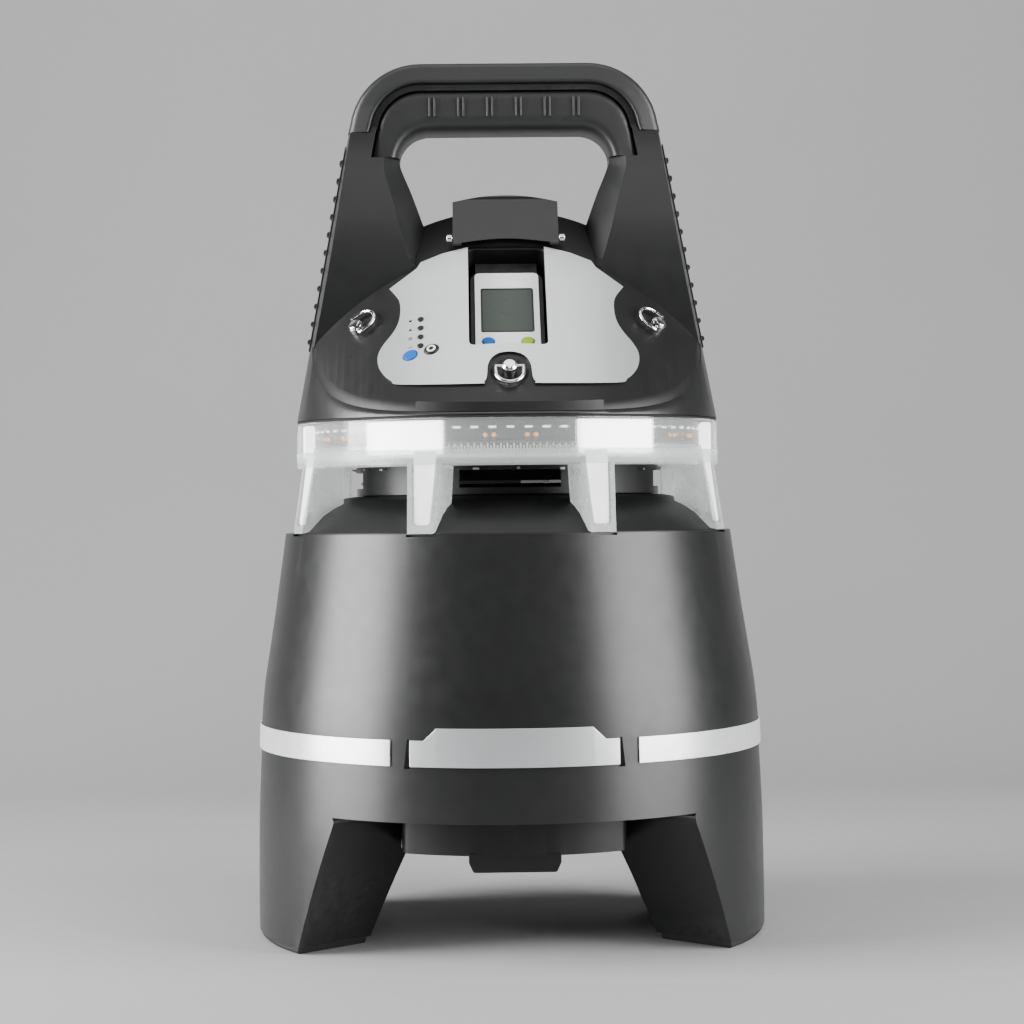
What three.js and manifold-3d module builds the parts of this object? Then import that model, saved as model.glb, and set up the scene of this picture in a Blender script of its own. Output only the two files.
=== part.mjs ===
// Portable area gas monitor: a floor-standing battery base, an all-round light ring with a
// downward horn in the gap below it, and a top housing with a carrying handle and a docked detector.
// Millimetres, +Z up, the front faces -Y, and the origin is the middle of the footprint on the floor.
import * as THREE from "three";
import { mergeVertices } from "three/addons/utils/BufferGeometryUtils.js";
import Module from "manifold-3d";

const wasm = await Module();
wasm.setup();

// ---- driving dimensions ----
const GAP = 0.3;             // clearance between pieces that touch
const WALL = 3.5;            // moulded wall of the base
const BASE_TOP = 236;        // rim of the base
const ARCH_TOP = 80;         // top of the front and rear arch between the legs
const PAD = 4;               // rubber foot pads
const BASE_PROFILE = [[150, PAD], [150, 30], [149.4, 70], [147.8, 108], [147.2, 128], [145.3, 148],
  [142.2, 168], [138.8, 189], [135.5, 212], [132.1, BASE_TOP]];
const LEG_PLANE = new THREE.Vector3(0.6294, 0.6661, 0.4003); // front face of the right leg
const LEG_PLANE_AT = 20.0;
const LEG_INNER_R = 97.8;    // inner face of the legs at the floor
const LEG_INNER_SLOPE = -0.225; // and its change in radius per mm of height
const TRAY_BOTTOM = 58.7;
const TRAY_R = 119;          // front and rear bulge of the tray
const TRAY_HALF_WIDTH = 62.7;
const TRAY_CORE_R = 77;
const FLANGE_Z = 84.3;
const BAND_LOW = 110.5, BAND_HIGH = 124.8, PLATE_HIGH = 131.6;
const RING_LOW = 274, RING_HIGH = 300.1, RING_R = 125;
const PILLARS = 8;
const PILLAR_FOOT_R = 132;
const DOME_TOP = 258.5;
const DRUM_R = 90, DRUM_LOW = 259; // horn housing that stands on the dome
const MOUTH_HALF = 28.5, MOUTH_LOW = 262, MOUTH_HIGH = 271.5, MOUTH_BACK = 62;
const DUCT_AT = 48;          // X and Y of the cable duct
const COLLAR_LOW = 301.7;
const CONE_TAPER = 0.19;     // radius lost per mm of height on the top housing
const PANEL_R = 182;         // the sloping front is a cylinder of this radius, laid along the slope
const PANEL_FOOT_Y = -120, PANEL_FOOT_Z = 311.5;
const BEZEL = 3;             // thickness of the front bezel
const PLATE = 1;             // thickness of the metal face plate
const HUMP_R = 130, HUMP_Z = 297; // cylinder along Y that rounds off the ridge
const HALF_SLOT = 22.3, SLOT_LOW = 42.4, SLOT_HIGH = 129.4; // docking slot, along the slope
const DETECTOR_HIGH = 115.5; // head of the docked detector, along the slope
const DETECTOR_KEY_V = 54.5;
const HANDLE_TOP = 513;
const HANDLE_HALF_DEPTH = 30, GRIP_HALF_DEPTH = 18;
const HANDLE_FLOOR = 340;
const CAP_DEPTH = 13, WEB = 4; // handle cap thickness, and the web seen in the groove below it
const GRIP_END = 457, CAP_END = 472;
const HINGE = new THREE.Vector3(0, 13, 427.5); // latch flap hinge, along X
const SOCKET_Z = 172;

const coneR = (z) => RING_R - CONE_TAPER * (z - 300.4);

// ---- materials ----
const mat = (color, roughness, metalness = 0, extra = {}) =>
  new THREE.MeshStandardMaterial({ color, roughness, metalness, ...extra });
const M = {
  shell: mat(0x2b2d2e, 0.42),
  dark: mat(0x161718, 0.6),
  rubber: mat(0x1b1b1c, 0.85),
  grip: mat(0x2a2b2c, 0.6),
  silver: mat(0xc4c7ca, 0.35, 0.6),
  reflective: mat(0xe9ebec, 0.3),
  clear: mat(0xe6ecec, 0.1, 0, { transparent: true, opacity: 0.35 }),
  diffuser: mat(0xffffff, 0.5),
  board: mat(0x2f3a33, 0.6),
  chrome: mat(0xd5d7d9, 0.12, 1),
  steel: mat(0x9a9da0, 0.35, 1),
  battery: mat(0x3a3d45, 0.6),
  white: mat(0xe8eaea, 0.4),
  window: mat(0x4a4f4d, 0.15),
  blue: mat(0x1683cf, 0.35),
  green: mat(0xa6c727, 0.35),
};

// ---- helpers ----
const group = new THREE.Group();

// A closed geometry as a manifold solid, with its faces pointing out.
function solid(geometry) {
  const g = geometry.index ? geometry.toNonIndexed() : geometry.clone();
  g.deleteAttribute("normal");
  g.deleteAttribute("uv");
  const merged = mergeVertices(g, 1e-4);
  const tri = new Uint32Array(merged.index.array);
  const build = () => new wasm.Manifold(new wasm.Mesh({
    numProp: 3,
    vertProperties: merged.attributes.position.array,
    triVerts: tri,
  }));
  const made = build();
  if (made.volume() >= 0) return made;
  for (let i = 0; i < tri.length; i += 3) [tri[i + 1], tri[i + 2]] = [tri[i + 2], tri[i + 1]];
  return build();
}

function geometryOf(manifold) {
  const m = manifold.getMesh();
  const points = new Float32Array(m.numVert * 3);
  for (let i = 0; i < m.numVert; i++) {
    points.set(m.vertProperties.subarray(i * m.numProp, i * m.numProp + 3), i * 3);
  }
  const g = new THREE.BufferGeometry();
  g.setAttribute("position", new THREE.BufferAttribute(points, 3));
  g.setIndex(new THREE.BufferAttribute(m.triVerts, 1));
  g.computeVertexNormals();
  return g;
}

// Adds a named mesh to the model, or to a placed group of it.
function add(name, manifold, material, parent = group) {
  const mesh = new THREE.Mesh(geometryOf(manifold), material);
  mesh.name = name;
  parent.add(mesh);
  return mesh;
}

const moved = (geometry, x, y, z) => geometry.translate(x, y, z);
const box = (x0, x1, y0, y1, z0, z1) => solid(moved(
  new THREE.BoxGeometry(x1 - x0, y1 - y0, z1 - z0), (x0 + x1) / 2, (y0 + y1) / 2, (z0 + z1) / 2));

// A solid of revolution about Z from [radius, height] points.
const lathe = (points, segments = 64) => solid(new THREE.LatheGeometry(
  points.map(([r, z]) => new THREE.Vector2(r, z)), segments).rotateX(Math.PI / 2));
const ring = (r0, r1, z0, z1, segments = 64) => lathe(
  [[r0, z0], [r1, z0], [r1, z1], [r0, z1], [r0, z0]], segments);
const disc = (r, z0, z1, segments = 24) => lathe([[0, z0], [r, z0], [r, z1], [0, z1]], segments);
// A shell of revolution that follows an outer profile, from one offset of it to another.
const skin = (profile, inner, outer) => lathe([
  ...profile.map(([r, z]) => [r + inner, z]),
  ...profile.map(([r, z]) => [r + outer, z]).reverse(),
  [profile[0][0] + inner, profile[0][1]]]);

const shapeOf = (points) => new THREE.Shape(points.map(([x, y]) => new THREE.Vector2(x, y)));
// A flat outline in X and Z, extruded along Y.
function prismY(shape, y0, y1, options = {}) {
  const settings = { depth: y1 - y0, bevelEnabled: false, curveSegments: 5, ...options };
  const g = new THREE.ExtrudeGeometry(shape, settings);
  return solid(g.rotateX(Math.PI / 2).translate(0, y1, 0));
}
// A flat outline in Y and Z, extruded along X.
function prismX(points, x0, x1) {
  const g = new THREE.ExtrudeGeometry(shapeOf(points), { depth: x1 - x0, bevelEnabled: false });
  return solid(g.rotateX(Math.PI / 2).rotateZ(Math.PI / 2).translate(x0, 0, 0));
}
// A sector of a disc about Z between two angles, measured from the front towards +X.
function wedge(from, to, z0, z1, radius = 220) {
  const steps = Math.max(2, Math.ceil((to - from) / 30));
  const points = [[0, 0]];
  for (let i = 0; i <= steps; i++) {
    const a = THREE.MathUtils.degToRad(from + ((to - from) * i) / steps);
    points.push([radius * Math.sin(a), -radius * Math.cos(a)]);
  }
  const g = new THREE.ExtrudeGeometry(shapeOf(points), { depth: z1 - z0, bevelEnabled: false });
  return solid(g.translate(0, 0, z0));
}
// A closed outline from its right half.
const mirrored = (half) => [...half, ...half.filter(([x]) => x > 0).map(([x, z]) => [-x, z]).reverse()];

// ---- the sloping panel: X across, V up the slope, W outwards ----
const SLOPE = new THREE.Vector3(0, 1, 1).normalize();
const NORMAL = new THREE.Vector3(0, -1, 1).normalize();
const PANEL_FOOT = new THREE.Vector3(0, PANEL_FOOT_Y, PANEL_FOOT_Z);

function panelCylinder(radius, side = 1) {
  const axisPoint = PANEL_FOOT.clone().addScaledVector(SLOPE, 90).addScaledVector(NORMAL, -PANEL_R);
  const g = new THREE.CylinderGeometry(radius, radius, 700, 96);
  g.rotateY(Math.PI / 96).applyQuaternion(new THREE.Quaternion().setFromUnitVectors(
    new THREE.Vector3(0, 1, 0), SLOPE)).translate(axisPoint.x, axisPoint.y, axisPoint.z);
  if (side < 0) g.rotateZ(Math.PI);
  return solid(g);
}
const humpCylinder = (grow) => solid(new THREE.CylinderGeometry(
  HUMP_R + grow, HUMP_R + grow, 300, 96).rotateY(Math.PI / 96).translate(0, 0, HUMP_Z));
const coneSolid = (z0, z1, grow, segments = 72) => lathe(
  [[0, z0], [coneR(z0) + grow, z0], [coneR(z1) + grow, z1], [0, z1]], segments);
// The roof shape of the top housing: a cone cut by both slopes and the rounded ridge.
const roof = (z0, front, rear, cone) => coneSolid(z0, 440, cone)
  .intersect(panelCylinder(PANEL_R + front))
  .intersect(panelCylinder(PANEL_R + rear, -1))
  .intersect(humpCylinder(rear));

// A group placed on the panel at lateral X and slope height V, whose local Z points out.
function onPanel(x, v) {
  const lean = Math.asin(x / PANEL_R);
  const drop = PANEL_R * (1 - Math.cos(lean));
  const out = NORMAL.clone().multiplyScalar(Math.cos(lean)).add(new THREE.Vector3(Math.sin(lean), 0, 0));
  const across = new THREE.Vector3().crossVectors(SLOPE, out).normalize();
  const placed = new THREE.Group();
  placed.quaternion.setFromRotationMatrix(new THREE.Matrix4().makeBasis(across, SLOPE, out));
  placed.position.copy(PANEL_FOOT).addScaledVector(SLOPE, v).addScaledVector(NORMAL, -drop);
  placed.position.x = x;
  group.add(placed);
  return placed;
}
// V of the panel point that has this X and this height Z.
function slopeAt(x, z) {
  const drop = PANEL_R * (1 - Math.cos(Math.asin(x / PANEL_R)));
  return (z - PANEL_FOOT_Z) * Math.SQRT2 + drop;
}
// A box given in the panel's own X, V and W.
function panelBox(x0, x1, v0, v1, w0, w1) {
  const g = new THREE.BoxGeometry(x1 - x0, v1 - v0, w1 - w0);
  g.translate((x0 + x1) / 2, (v0 + v1) / 2, (w0 + w1) / 2);
  g.applyMatrix4(new THREE.Matrix4().makeBasis(new THREE.Vector3(1, 0, 0), SLOPE, NORMAL));
  return solid(g.translate(PANEL_FOOT.x, PANEL_FOOT.y, PANEL_FOOT.z));
}
function panelDisc(x, v, radius, w0, w1, segments = 20) {
  const placed = onPanel(x, v);
  placed.updateMatrixWorld(true);
  const g = new THREE.CylinderGeometry(radius, radius, w1 - w0, segments).rotateX(Math.PI / 2);
  g.translate(0, 0, (w0 + w1) / 2).applyMatrix4(placed.matrixWorld);
  group.remove(placed);
  return solid(g);
}

// ---- base ----
const baseR = (z) => {
  const i = Math.max(1, BASE_PROFILE.findIndex(([, h]) => h >= z));
  const [r0, z0] = BASE_PROFILE[i - 1];
  const [r1, z1] = BASE_PROFILE[i];
  return r0 + ((r1 - r0) * (z - z0)) / (z1 - z0);
};
const baseSolid = (offset, z0, z1) => lathe([[0, z0], [baseR(Math.max(z0, PAD)) + offset, z0],
  ...BASE_PROFILE.filter(([, z]) => z > z0 && z < z1).map(([r, z]) => [r + offset, z]),
  [baseR(Math.min(z1, BASE_TOP)) + offset, z1], [0, z1]]);

// Keeps the side of the four leg faces that holds the leg on that side (+1 right, -1 left).
function betweenLegFaces(block, side, offset) {
  const { x, y, z } = LEG_PLANE;
  return block.trimByPlane([side * x, y, z], LEG_PLANE_AT + offset)
    .trimByPlane([side * x, -y, z], LEG_PLANE_AT + offset);
}
const legInner = (z) => LEG_INNER_R + LEG_INNER_SLOPE * z;
const legBlock = (side, inset, z0, z1) => betweenLegFaces(baseSolid(-inset, z0, z1).subtract(
  lathe([[0, -1], [legInner(-1) + inset, -1], [legInner(120) + inset, 120], [0, 120]])), side, inset);

function archCut(sideY) {
  const { x, y, z } = LEG_PLANE;
  let cut = box(-200, 200, sideY > 0 ? 0 : -200, sideY > 0 ? 200 : 0, -5, ARCH_TOP);
  for (const s of [1, -1]) cut = cut.trimByPlane([-s * x, sideY * y, -z], -LEG_PLANE_AT);
  return cut;
}

let shell = baseSolid(0, PAD, BASE_TOP).subtract(baseSolid(-WALL, PAD - 1, BASE_TOP + 1));
shell = shell.subtract(archCut(-1)).subtract(archCut(1));
for (const side of [1, -1]) {
  shell = shell.add(legBlock(side, 0, PAD, ARCH_TOP + 4)
    .subtract(legBlock(side, WALL, PAD + WALL, ARCH_TOP + 6)));
}
const trayPlan = (offset, z0, z1) => disc(TRAY_R + offset, z0, z1, 64)
  .intersect(box(-TRAY_HALF_WIDTH - offset, TRAY_HALF_WIDTH + offset, -200, 200, z0, z1))
  .add(disc(TRAY_CORE_R + offset, z0, z1, 48));
const socketHole = solid(new THREE.CylinderGeometry(15.3, 15.3, 60, 24).translate(0, 140, SOCKET_Z));
add("base_shell", shell.subtract(trayPlan(GAP, TRAY_BOTTOM - 1, ARCH_TOP + 8)).subtract(socketHole), M.shell);

for (const [name, side] of [["right_foot_pad", 1], ["left_foot_pad", -1]]) {
  add(name, legBlock(side, 1.2, 0, PAD - GAP), M.rubber);
}

const SCREW_AT = [[72, -100], [-72, -100], [72, 100], [-72, 100]];
let tray = trayPlan(0, TRAY_BOTTOM, FLANGE_Z + WALL)
  .add(disc(baseR(FLANGE_Z) - WALL - 0.6, FLANGE_Z, FLANGE_Z + WALL, 64))
  .subtract(trayPlan(-3, TRAY_BOTTOM + 3, FLANGE_Z + WALL + 1))
  .add(prismY(shapeOf([[-25.5, TRAY_BOTTOM + 1], [-25.5, 55], [-23, 49.6], [23, 49.6], [25.5, 55],
    [25.5, TRAY_BOTTOM + 1]]), -117, -96));
for (const [x, y] of SCREW_AT) tray = tray.subtract(disc(3, FLANGE_Z - 1, 95, 12).translate(x, y, 0));
add("bottom_tray", tray, M.dark);
SCREW_AT.forEach(([x, y], i) => add(`tray_screw_${i + 1}`, lathe(
  [[0, 81], [4.2, 81], [4.8, 82], [4.8, 84], [2.5, 84], [2.5, 98], [0, 99]], 12).translate(x, y, 0), M.steel));

add("battery_pack", box(-58, 58, -74, 74, TRAY_BOTTOM + 3.4, 176), M.battery);

const DOME = [[128.2, 236.2], [107, 252], [92, 257], [60, DOME_TOP]];
const ductHole = disc(9.5, 200, 320, 20).translate(DUCT_AT, DUCT_AT, 0);
add("deflector_dome", lathe([[0, DOME_TOP - 3], [60, DOME_TOP - 3], [91, 253.8], [105.6, 249],
  [125.6, 233.6], [128.2, 233.6], ...DOME, [0, DOME_TOP]]).subtract(ductHole), M.dark);

// Reflective band: two side strips and a raised plate at the front, all standing on the wall.
const bandProfile = (z0, z1) => [[baseR(z0), z0], [baseR((z0 + z1) / 2), (z0 + z1) / 2], [baseR(z1), z1]];
const plateHalf = [[56.6, BAND_LOW], [56.6, BAND_HIGH], [49.2, BAND_HIGH], [42.3, PLATE_HIGH]];
const plateShape = shapeOf(mirrored(plateHalf));
add("front_plate", skin(bandProfile(BAND_LOW, PLATE_HIGH), GAP, 1.3)
  .intersect(prismY(plateShape, -170, -100)), M.silver);
for (const [name, from, to] of [["right_band", 27.2, 176], ["left_band", 184, 332.8]]) {
  add(name, skin(bandProfile(BAND_LOW, BAND_HIGH), GAP, 1.1)
    .intersect(wedge(from, to, BAND_LOW - 1, BAND_HIGH + 1)), M.reflective);
}

// ---- light ring ----
// One pillar: a radial block that flares to the rim and rests along the dome.
function pillar(angle) {
  const top = RING_LOW + 1;
  const outline = [[107, 252.6], [127.4, 237.2], [PILLAR_FOOT_R, 236.5], [RING_R, top], [107, top]];
  let p = prismX(outline.map(([r, z]) => [-r, z]).reverse(), -10, 10);
  const lean = 2.5 / (RING_LOW - BASE_TOP); // each side narrows by 2.5 mm towards the foot
  for (const s of [1, -1]) {
    const n = new THREE.Vector3(-s, 0, lean).normalize();
    p = p.trimByPlane([n.x, n.y, n.z], n.x * s * 10 + n.z * RING_LOW);
  }
  return p.rotate([0, 0, angle]);
}
let lightRing = lathe([[104, RING_LOW], [RING_R, RING_LOW], [RING_R, RING_HIGH], [RING_R - 3, RING_HIGH],
  [RING_R - 3, RING_LOW + 3], [104, RING_LOW + 3], [104, RING_LOW]], 96);
for (let i = 0; i < PILLARS; i++) lightRing = lightRing.add(pillar((360 / PILLARS) * (i + 0.5)));
add("light_ring", lightRing, M.clear);
add("ring_gasket", ring(119, RING_R - 0.6, RING_HIGH + GAP, COLLAR_LOW - GAP, 48), M.rubber);
add("led_board", ring(112.5, 114.3, RING_LOW + 3.4, RING_HIGH - 0.6, 48), M.board);
for (let i = 0; i < 6; i++) {
  const a = 30 + i * 60;
  add(`light_guide_${i + 1}`, ring(115.4, 121.2, 280, RING_HIGH - 0.8, 96)
    .intersect(wedge(a - 11.5, a + 11.5, 270, 310)), M.diffuser);
}

// ---- horn, chassis and boards ----
add("chassis_plate", roof(COLLAR_LOW, -BEZEL - GAP - 3.4, -3.4, -3.8)
  .intersect(box(-150, 150, -150, 150, COLLAR_LOW, COLLAR_LOW + 3)).subtract(ductHole), M.dark);
// The horn housing is a round cup, open at the top, with a flat mouth in each of its four sides.
const drum = lathe([[0, DRUM_LOW], [DRUM_R - 3, DRUM_LOW], [DRUM_R, DRUM_LOW + 3], [DRUM_R, COLLAR_LOW - GAP],
  [0, COLLAR_LOW - GAP]], 64);
let horn = drum.subtract(disc(DRUM_R - 3, DRUM_LOW + 3, COLLAR_LOW, 64));
for (let i = 0; i < 4; i++) {
  const sleeve = box(-MOUTH_HALF - 2, MOUTH_HALF + 2, -95, 2 - MOUTH_BACK, MOUTH_LOW - 2, MOUTH_HIGH + 2);
  const mouth = box(-MOUTH_HALF, MOUTH_HALF, -96, -MOUTH_BACK, MOUTH_LOW, MOUTH_HIGH);
  horn = horn.add(sleeve.rotate([0, 0, 90 * i]).intersect(drum)).subtract(mouth.rotate([0, 0, 90 * i]));
}
add("horn_housing", horn.subtract(ductHole), M.dark);
add("horn_driver", lathe([[0, DRUM_LOW + 4], [22, DRUM_LOW + 4], [33, 276], [33, 290], [24, 290], [24, 298],
  [0, 298]], 32), M.steel);
add("cable_duct", ring(7, 9, 200, COLLAR_LOW + 4, 20).translate(DUCT_AT, DUCT_AT, 0), M.dark);
add("main_board", box(-60, 60, -52, 50, 308, 309.6), M.board);

// ---- top housing ----
const slotCut = panelBox(-HALF_SLOT - 1.8, HALF_SLOT + 1.8, SLOT_LOW - 1.8, SLOT_HIGH + 1.8, -60, 20);
const HINGE_EAR = 29.5;
function ears(width) {
  const outline = [
    [HINGE.y - 5, 414], [HINGE.y + 5, 414], [HINGE.y + 5, HINGE.z + 1], [HINGE.y + 2.5, HINGE.z + 4.5],
    [HINGE.y - 2.5, HINGE.z + 4.5], [HINGE.y - 5, HINGE.z + 1]];
  return prismX(outline, HINGE_EAR - width, HINGE_EAR).add(prismX(outline, -HINGE_EAR, -HINGE_EAR + width));
}
const pinHole = solid(new THREE.CylinderGeometry(2, 2, 80, 16).rotateZ(Math.PI / 2)
  .translate(0, HINGE.y, HINGE.z));
const catchPin = (side, radius, x0, x1) => solid(new THREE.CylinderGeometry(radius, radius, x1 - x0, 12)
  .rotateZ(Math.PI / 2).translate(side * (x0 + x1) / 2, -26.4, 408));
let housing = roof(COLLAR_LOW, -BEZEL - GAP, 0, 0)
  .subtract(roof(COLLAR_LOW - 1, -BEZEL - GAP - 3, -3, -3))
  .add(ears(5).subtract(roof(COLLAR_LOW, -BEZEL - GAP - 2, -2, -2)))
  .subtract(slotCut).subtract(pinHole);
const STUDS = [["front", 0, 21.5, 180], ["right", 86.1, slopeAt(86.1, 353.8), 66],
  ["left", -86.1, slopeAt(-86.1, 353.8), -66]];
for (const [, x, v] of STUDS) housing = housing.subtract(panelDisc(x, v, 3.4, -30, 3));
add("top_housing", housing, M.shell);

const LED_X = -49.3, LED_Z = [357, 351.7, 346.3, 341];
const KEYS = [["power_key", -43.1, 338.8, M.dark], ["info_key", -55, 335.6, M.blue]];
// The bezel runs on up to the ridge between the handle arms.
const ridgeZone = (grow) => prismY(shapeOf([[-58 - grow, 380], [58 + grow, 380], [45.5 + grow, 430],
  [-45.5 - grow, 430]]), -60, -1 + grow);
let bezel = panelCylinder(PANEL_R).subtract(panelCylinder(PANEL_R - BEZEL))
  .intersect(coneSolid(300, 440, -0.7)).intersect(humpCylinder(0))
  .intersect(panelCylinder(PANEL_R - 0.5, -1).add(box(-130, 130, -140, -35, 290, 440)))
  .intersect(box(-130, 130, -140, -HANDLE_HALF_DEPTH - 0.6, 290, 440).add(ridgeZone(0)))
  .subtract(slotCut);
let face = panelCylinder(PANEL_R + GAP + PLATE).subtract(panelCylinder(PANEL_R + GAP));
const faceHalf = [[HALF_SLOT, 402.5], [37.1, 399], [49.8, 394], [52.3, 390], [68.1, 378], [62.6, 371],
  [61.4, 364.5], [62.3, 357], [65.5, 350.5], [71.5, 342.5], [74, 336.5], [73.2, 330], [70, 325], [66, 321.8],
  [60, 319.4], [15.6, 318.4], [13, 320.6], [12.4, 324], [12, 329.7], [9.6, 334.2], [5.4, 336.8], [0, 337.6]];
face = face.intersect(prismY(shapeOf(mirrored(faceHalf)), -140, -20))
  .subtract(panelBox(-HALF_SLOT, HALF_SLOT, SLOT_LOW, SLOT_HIGH + 40, -30, 20));
for (const [, x, z] of KEYS) {
  face = face.subtract(panelDisc(x, slopeAt(x, z), 4.6, -5, 5));
  bezel = bezel.subtract(panelDisc(x, slopeAt(x, z), 4.6, -5, 5));
}
for (const [, x, v] of STUDS) bezel = bezel.subtract(panelDisc(x, v, 3.4, -8, 3));
add("bezel", bezel, M.dark);
add("face_plate", face, M.silver);

for (const [name, x, z, material] of KEYS) {
  const cap = lathe([[0, -2], [4.2, -2], [4.2, 1.5], [3.4, 1.9], [0, 1.9]], 20);
  add(name, cap, material, onPanel(x, slopeAt(x, z)));
}
LED_Z.forEach((z, i) => add(`status_led_${i + 1}`, lathe(
  [[0, 1.4], [1.9, 1.4], [1.9, 1.7], [1.2, 2.1], [0, 2.1]], 12), M.dark, onPanel(LED_X, slopeAt(LED_X, z))));

// ---- docking slot and detector ----
add("cradle", panelBox(-HALF_SLOT - 1.5, HALF_SLOT + 1.5, SLOT_LOW - 1.5, SLOT_HIGH + 1.5, -35, -2.2)
  .subtract(panelBox(-HALF_SLOT, HALF_SLOT, SLOT_LOW, SLOT_HIGH, -33, 5)), M.dark);
add("contact_block", panelBox(-18, 18, DETECTOR_HIGH + 2, SLOT_HIGH - GAP, -32.6, -13), M.rubber);
const detector = onPanel(0, 0);
const bar = (x, v0, v1, w0, w1) => box(-x, x, v0, v1, w0, w1);
const KEY_AT = [["detector_key_left", -11.2, M.blue], ["detector_key_right", 11.2, M.green]];
const keyHole = (x) => disc(3.8, -12, 0, 20).translate(x, DETECTOR_KEY_V, 0);
let detectorBody = bar(21, 43.6, DETECTOR_HIGH, -31, -9.3);
let detectorFace = bar(18.5, 45, DETECTOR_HIGH - 1, -9, -8);
for (const [, x] of KEY_AT) {
  detectorBody = detectorBody.subtract(keyHole(x));
  detectorFace = detectorFace.subtract(keyHole(x));
}
add("detector_body", detectorBody, M.rubber, detector);
add("detector_face", detectorFace, M.white, detector);
add("detector_window", bar(14.6, 63, 100.4, -7.7, -7.2), M.window, detector);
for (const [name, x, material] of KEY_AT) {
  add(name, disc(3.5, -10.8, -7.3, 20).translate(x, DETECTOR_KEY_V, 0), material, detector);
}

// ---- latch flap over the head of the slot ----
const flapOutline = [[-30.4, 404.6], [-28.9, 403.6], [-5.4, 428], [5, 428], [8.6, 425.4], [17, 426],
  [17, 429], [15, 432], [8, 434.6], [-9, 435.2], [-13, 433.6]];
const flapArch = shapeOf([
  [-31, 395], [31, 395], [31, 431], [16, 433.8], [0, 434.8], [-16, 433.8], [-31, 431],
]);
add("latch_flap", prismX(flapOutline, -31, 31).intersect(prismY(flapArch, -40, 40))
  .subtract(box(-40, -HINGE_EAR + 5.6, 2, 30, 400, 440)).subtract(box(HINGE_EAR - 5.6, 40, 2, 30, 400, 440))
  .subtract(pinHole), M.shell);
add("latch_pin", solid(new THREE.CylinderGeometry(1.6, 1.6, 2 * HINGE_EAR - 1, 12).rotateZ(Math.PI / 2)
  .translate(0, HINGE.y, HINGE.z)), M.steel);
for (const [name, side] of [["catch_pin_right", 1], ["catch_pin_left", -1]]) {
  add(name, catchPin(side, 2.2, 31.5, 34.5), M.chrome);
}

// ---- quarter-turn studs and their folding bails ----
for (const [name, x, v, heading] of STUDS) {
  const placed = onPanel(x, v);
  const turned = new THREE.Group();
  turned.rotation.z = THREE.MathUtils.degToRad(heading);
  placed.add(turned);
  const stud = lathe([[0, -14], [3, -14], [3, 0.4], [4.2, 0.4], [4.2, 4.4], [3.4, 5.2], [0, 5.2]], 16);
  add(`${name}_stud`, stud.subtract(box(-6, 6, -1.35, 1.35, 1.6, 4.3)), M.chrome, turned);
  const outer = new THREE.Shape();
  outer.moveTo(-8.6, -0.9).lineTo(8.6, -0.9).lineTo(8.6, 5).absarc(0, 5, 8.6, 0, Math.PI, false)
    .lineTo(-8.6, -0.9);
  const inner = new THREE.Path();
  inner.moveTo(-6.9, 0.9).lineTo(6.9, 0.9).lineTo(6.9, 5).absarc(0, 5, 6.9, 0, Math.PI, false)
    .lineTo(-6.9, 0.9);
  outer.holes.push(inner);
  const wire = new THREE.ExtrudeGeometry(outer, { depth: 1.8, bevelEnabled: false, curveSegments: 10 });
  add(`${name}_bail`, solid(wire.translate(0, 0, 2.05)), M.chrome, turned);
}

// ---- handle ----
// Half outline of the handle in X and Z at an inset from its outer edge.
function handleOuter(inset) {
  const r = 42 - inset;
  const x = coneR(476) - inset;
  const points = [[coneR(HANDLE_FLOOR) - inset, HANDLE_FLOOR], [x, 473]];
  for (let i = 1; i <= 6; i++) {
    const a = (Math.PI / 2) * (i / 6);
    points.push([x - r + r * Math.cos(a), HANDLE_TOP - 42 + r * Math.sin(a)]);
  }
  return points;
}
const outerShape = (inset) => shapeOf(mirrored(handleOuter(inset)));
// The finger opening at its narrowest, in the middle of the handle's depth.
const openingHalf = [
  [41, 398], [47.8, 416], [55, 436], [61, 450.5], [62, 456], [60.6, 461.5], [57, 466.5], [52, 470],
  [46, 471.7]];
const opening = new THREE.Path(mirrored(openingHalf).map(([x, z]) => new THREE.Vector2(x, z)));
const plateWithOpening = shapeOf([[-170, 320], [170, 320], [170, 560], [-170, 560]]);
plateWithOpening.holes.push(opening);
const flare = 16; // the opening is this much wider at the front and rear faces
let handle = solid(new THREE.ExtrudeGeometry(plateWithOpening, {
  depth: 16, bevelEnabled: true, bevelThickness: 22, bevelSize: flare, bevelOffset: -flare, bevelSegments: 1,
}).rotateX(Math.PI / 2).translate(0, 8, 0));
const sideOutline = [[-HANDLE_HALF_DEPTH, 330], [HANDLE_HALF_DEPTH, 330], [HANDLE_HALF_DEPTH, 400],
  [GRIP_HALF_DEPTH + 1, 470], [GRIP_HALF_DEPTH, 505], [14, HANDLE_TOP], [-14, HANDLE_TOP],
  [-GRIP_HALF_DEPTH, 505], [-GRIP_HALF_DEPTH - 1, 470], [-HANDLE_HALF_DEPTH, 400]];
const sideProfile = prismX(sideOutline, -160, 160);
handle = handle.intersect(sideProfile).intersect(coneSolid(320, 520, 0))
  .intersect(prismY(outerShape(0), -60, 60));
const above = (z) => box(-160, 160, -60, 60, z, 560);
const capZone = prismY(outerShape(-30), -60, 60)
  .subtract(prismY(outerShape(CAP_DEPTH), -61, 61))
  .intersect(above(CAP_END));
const gripZone = prismY(outerShape(CAP_DEPTH + WEB), -60, 60).intersect(above(GRIP_END));
const roofKeepOut = roof(COLLAR_LOW, -BEZEL, GAP, 1).add(coneSolid(300, 345, 1))
  .add(roof(COLLAR_LOW, GAP, GAP, 1).intersect(ridgeZone(GAP)));
const capCut = prismY(outerShape(-30), -60, 60).subtract(prismY(outerShape(CAP_DEPTH + GAP), -61, 61))
  .intersect(above(CAP_END - GAP));
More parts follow.
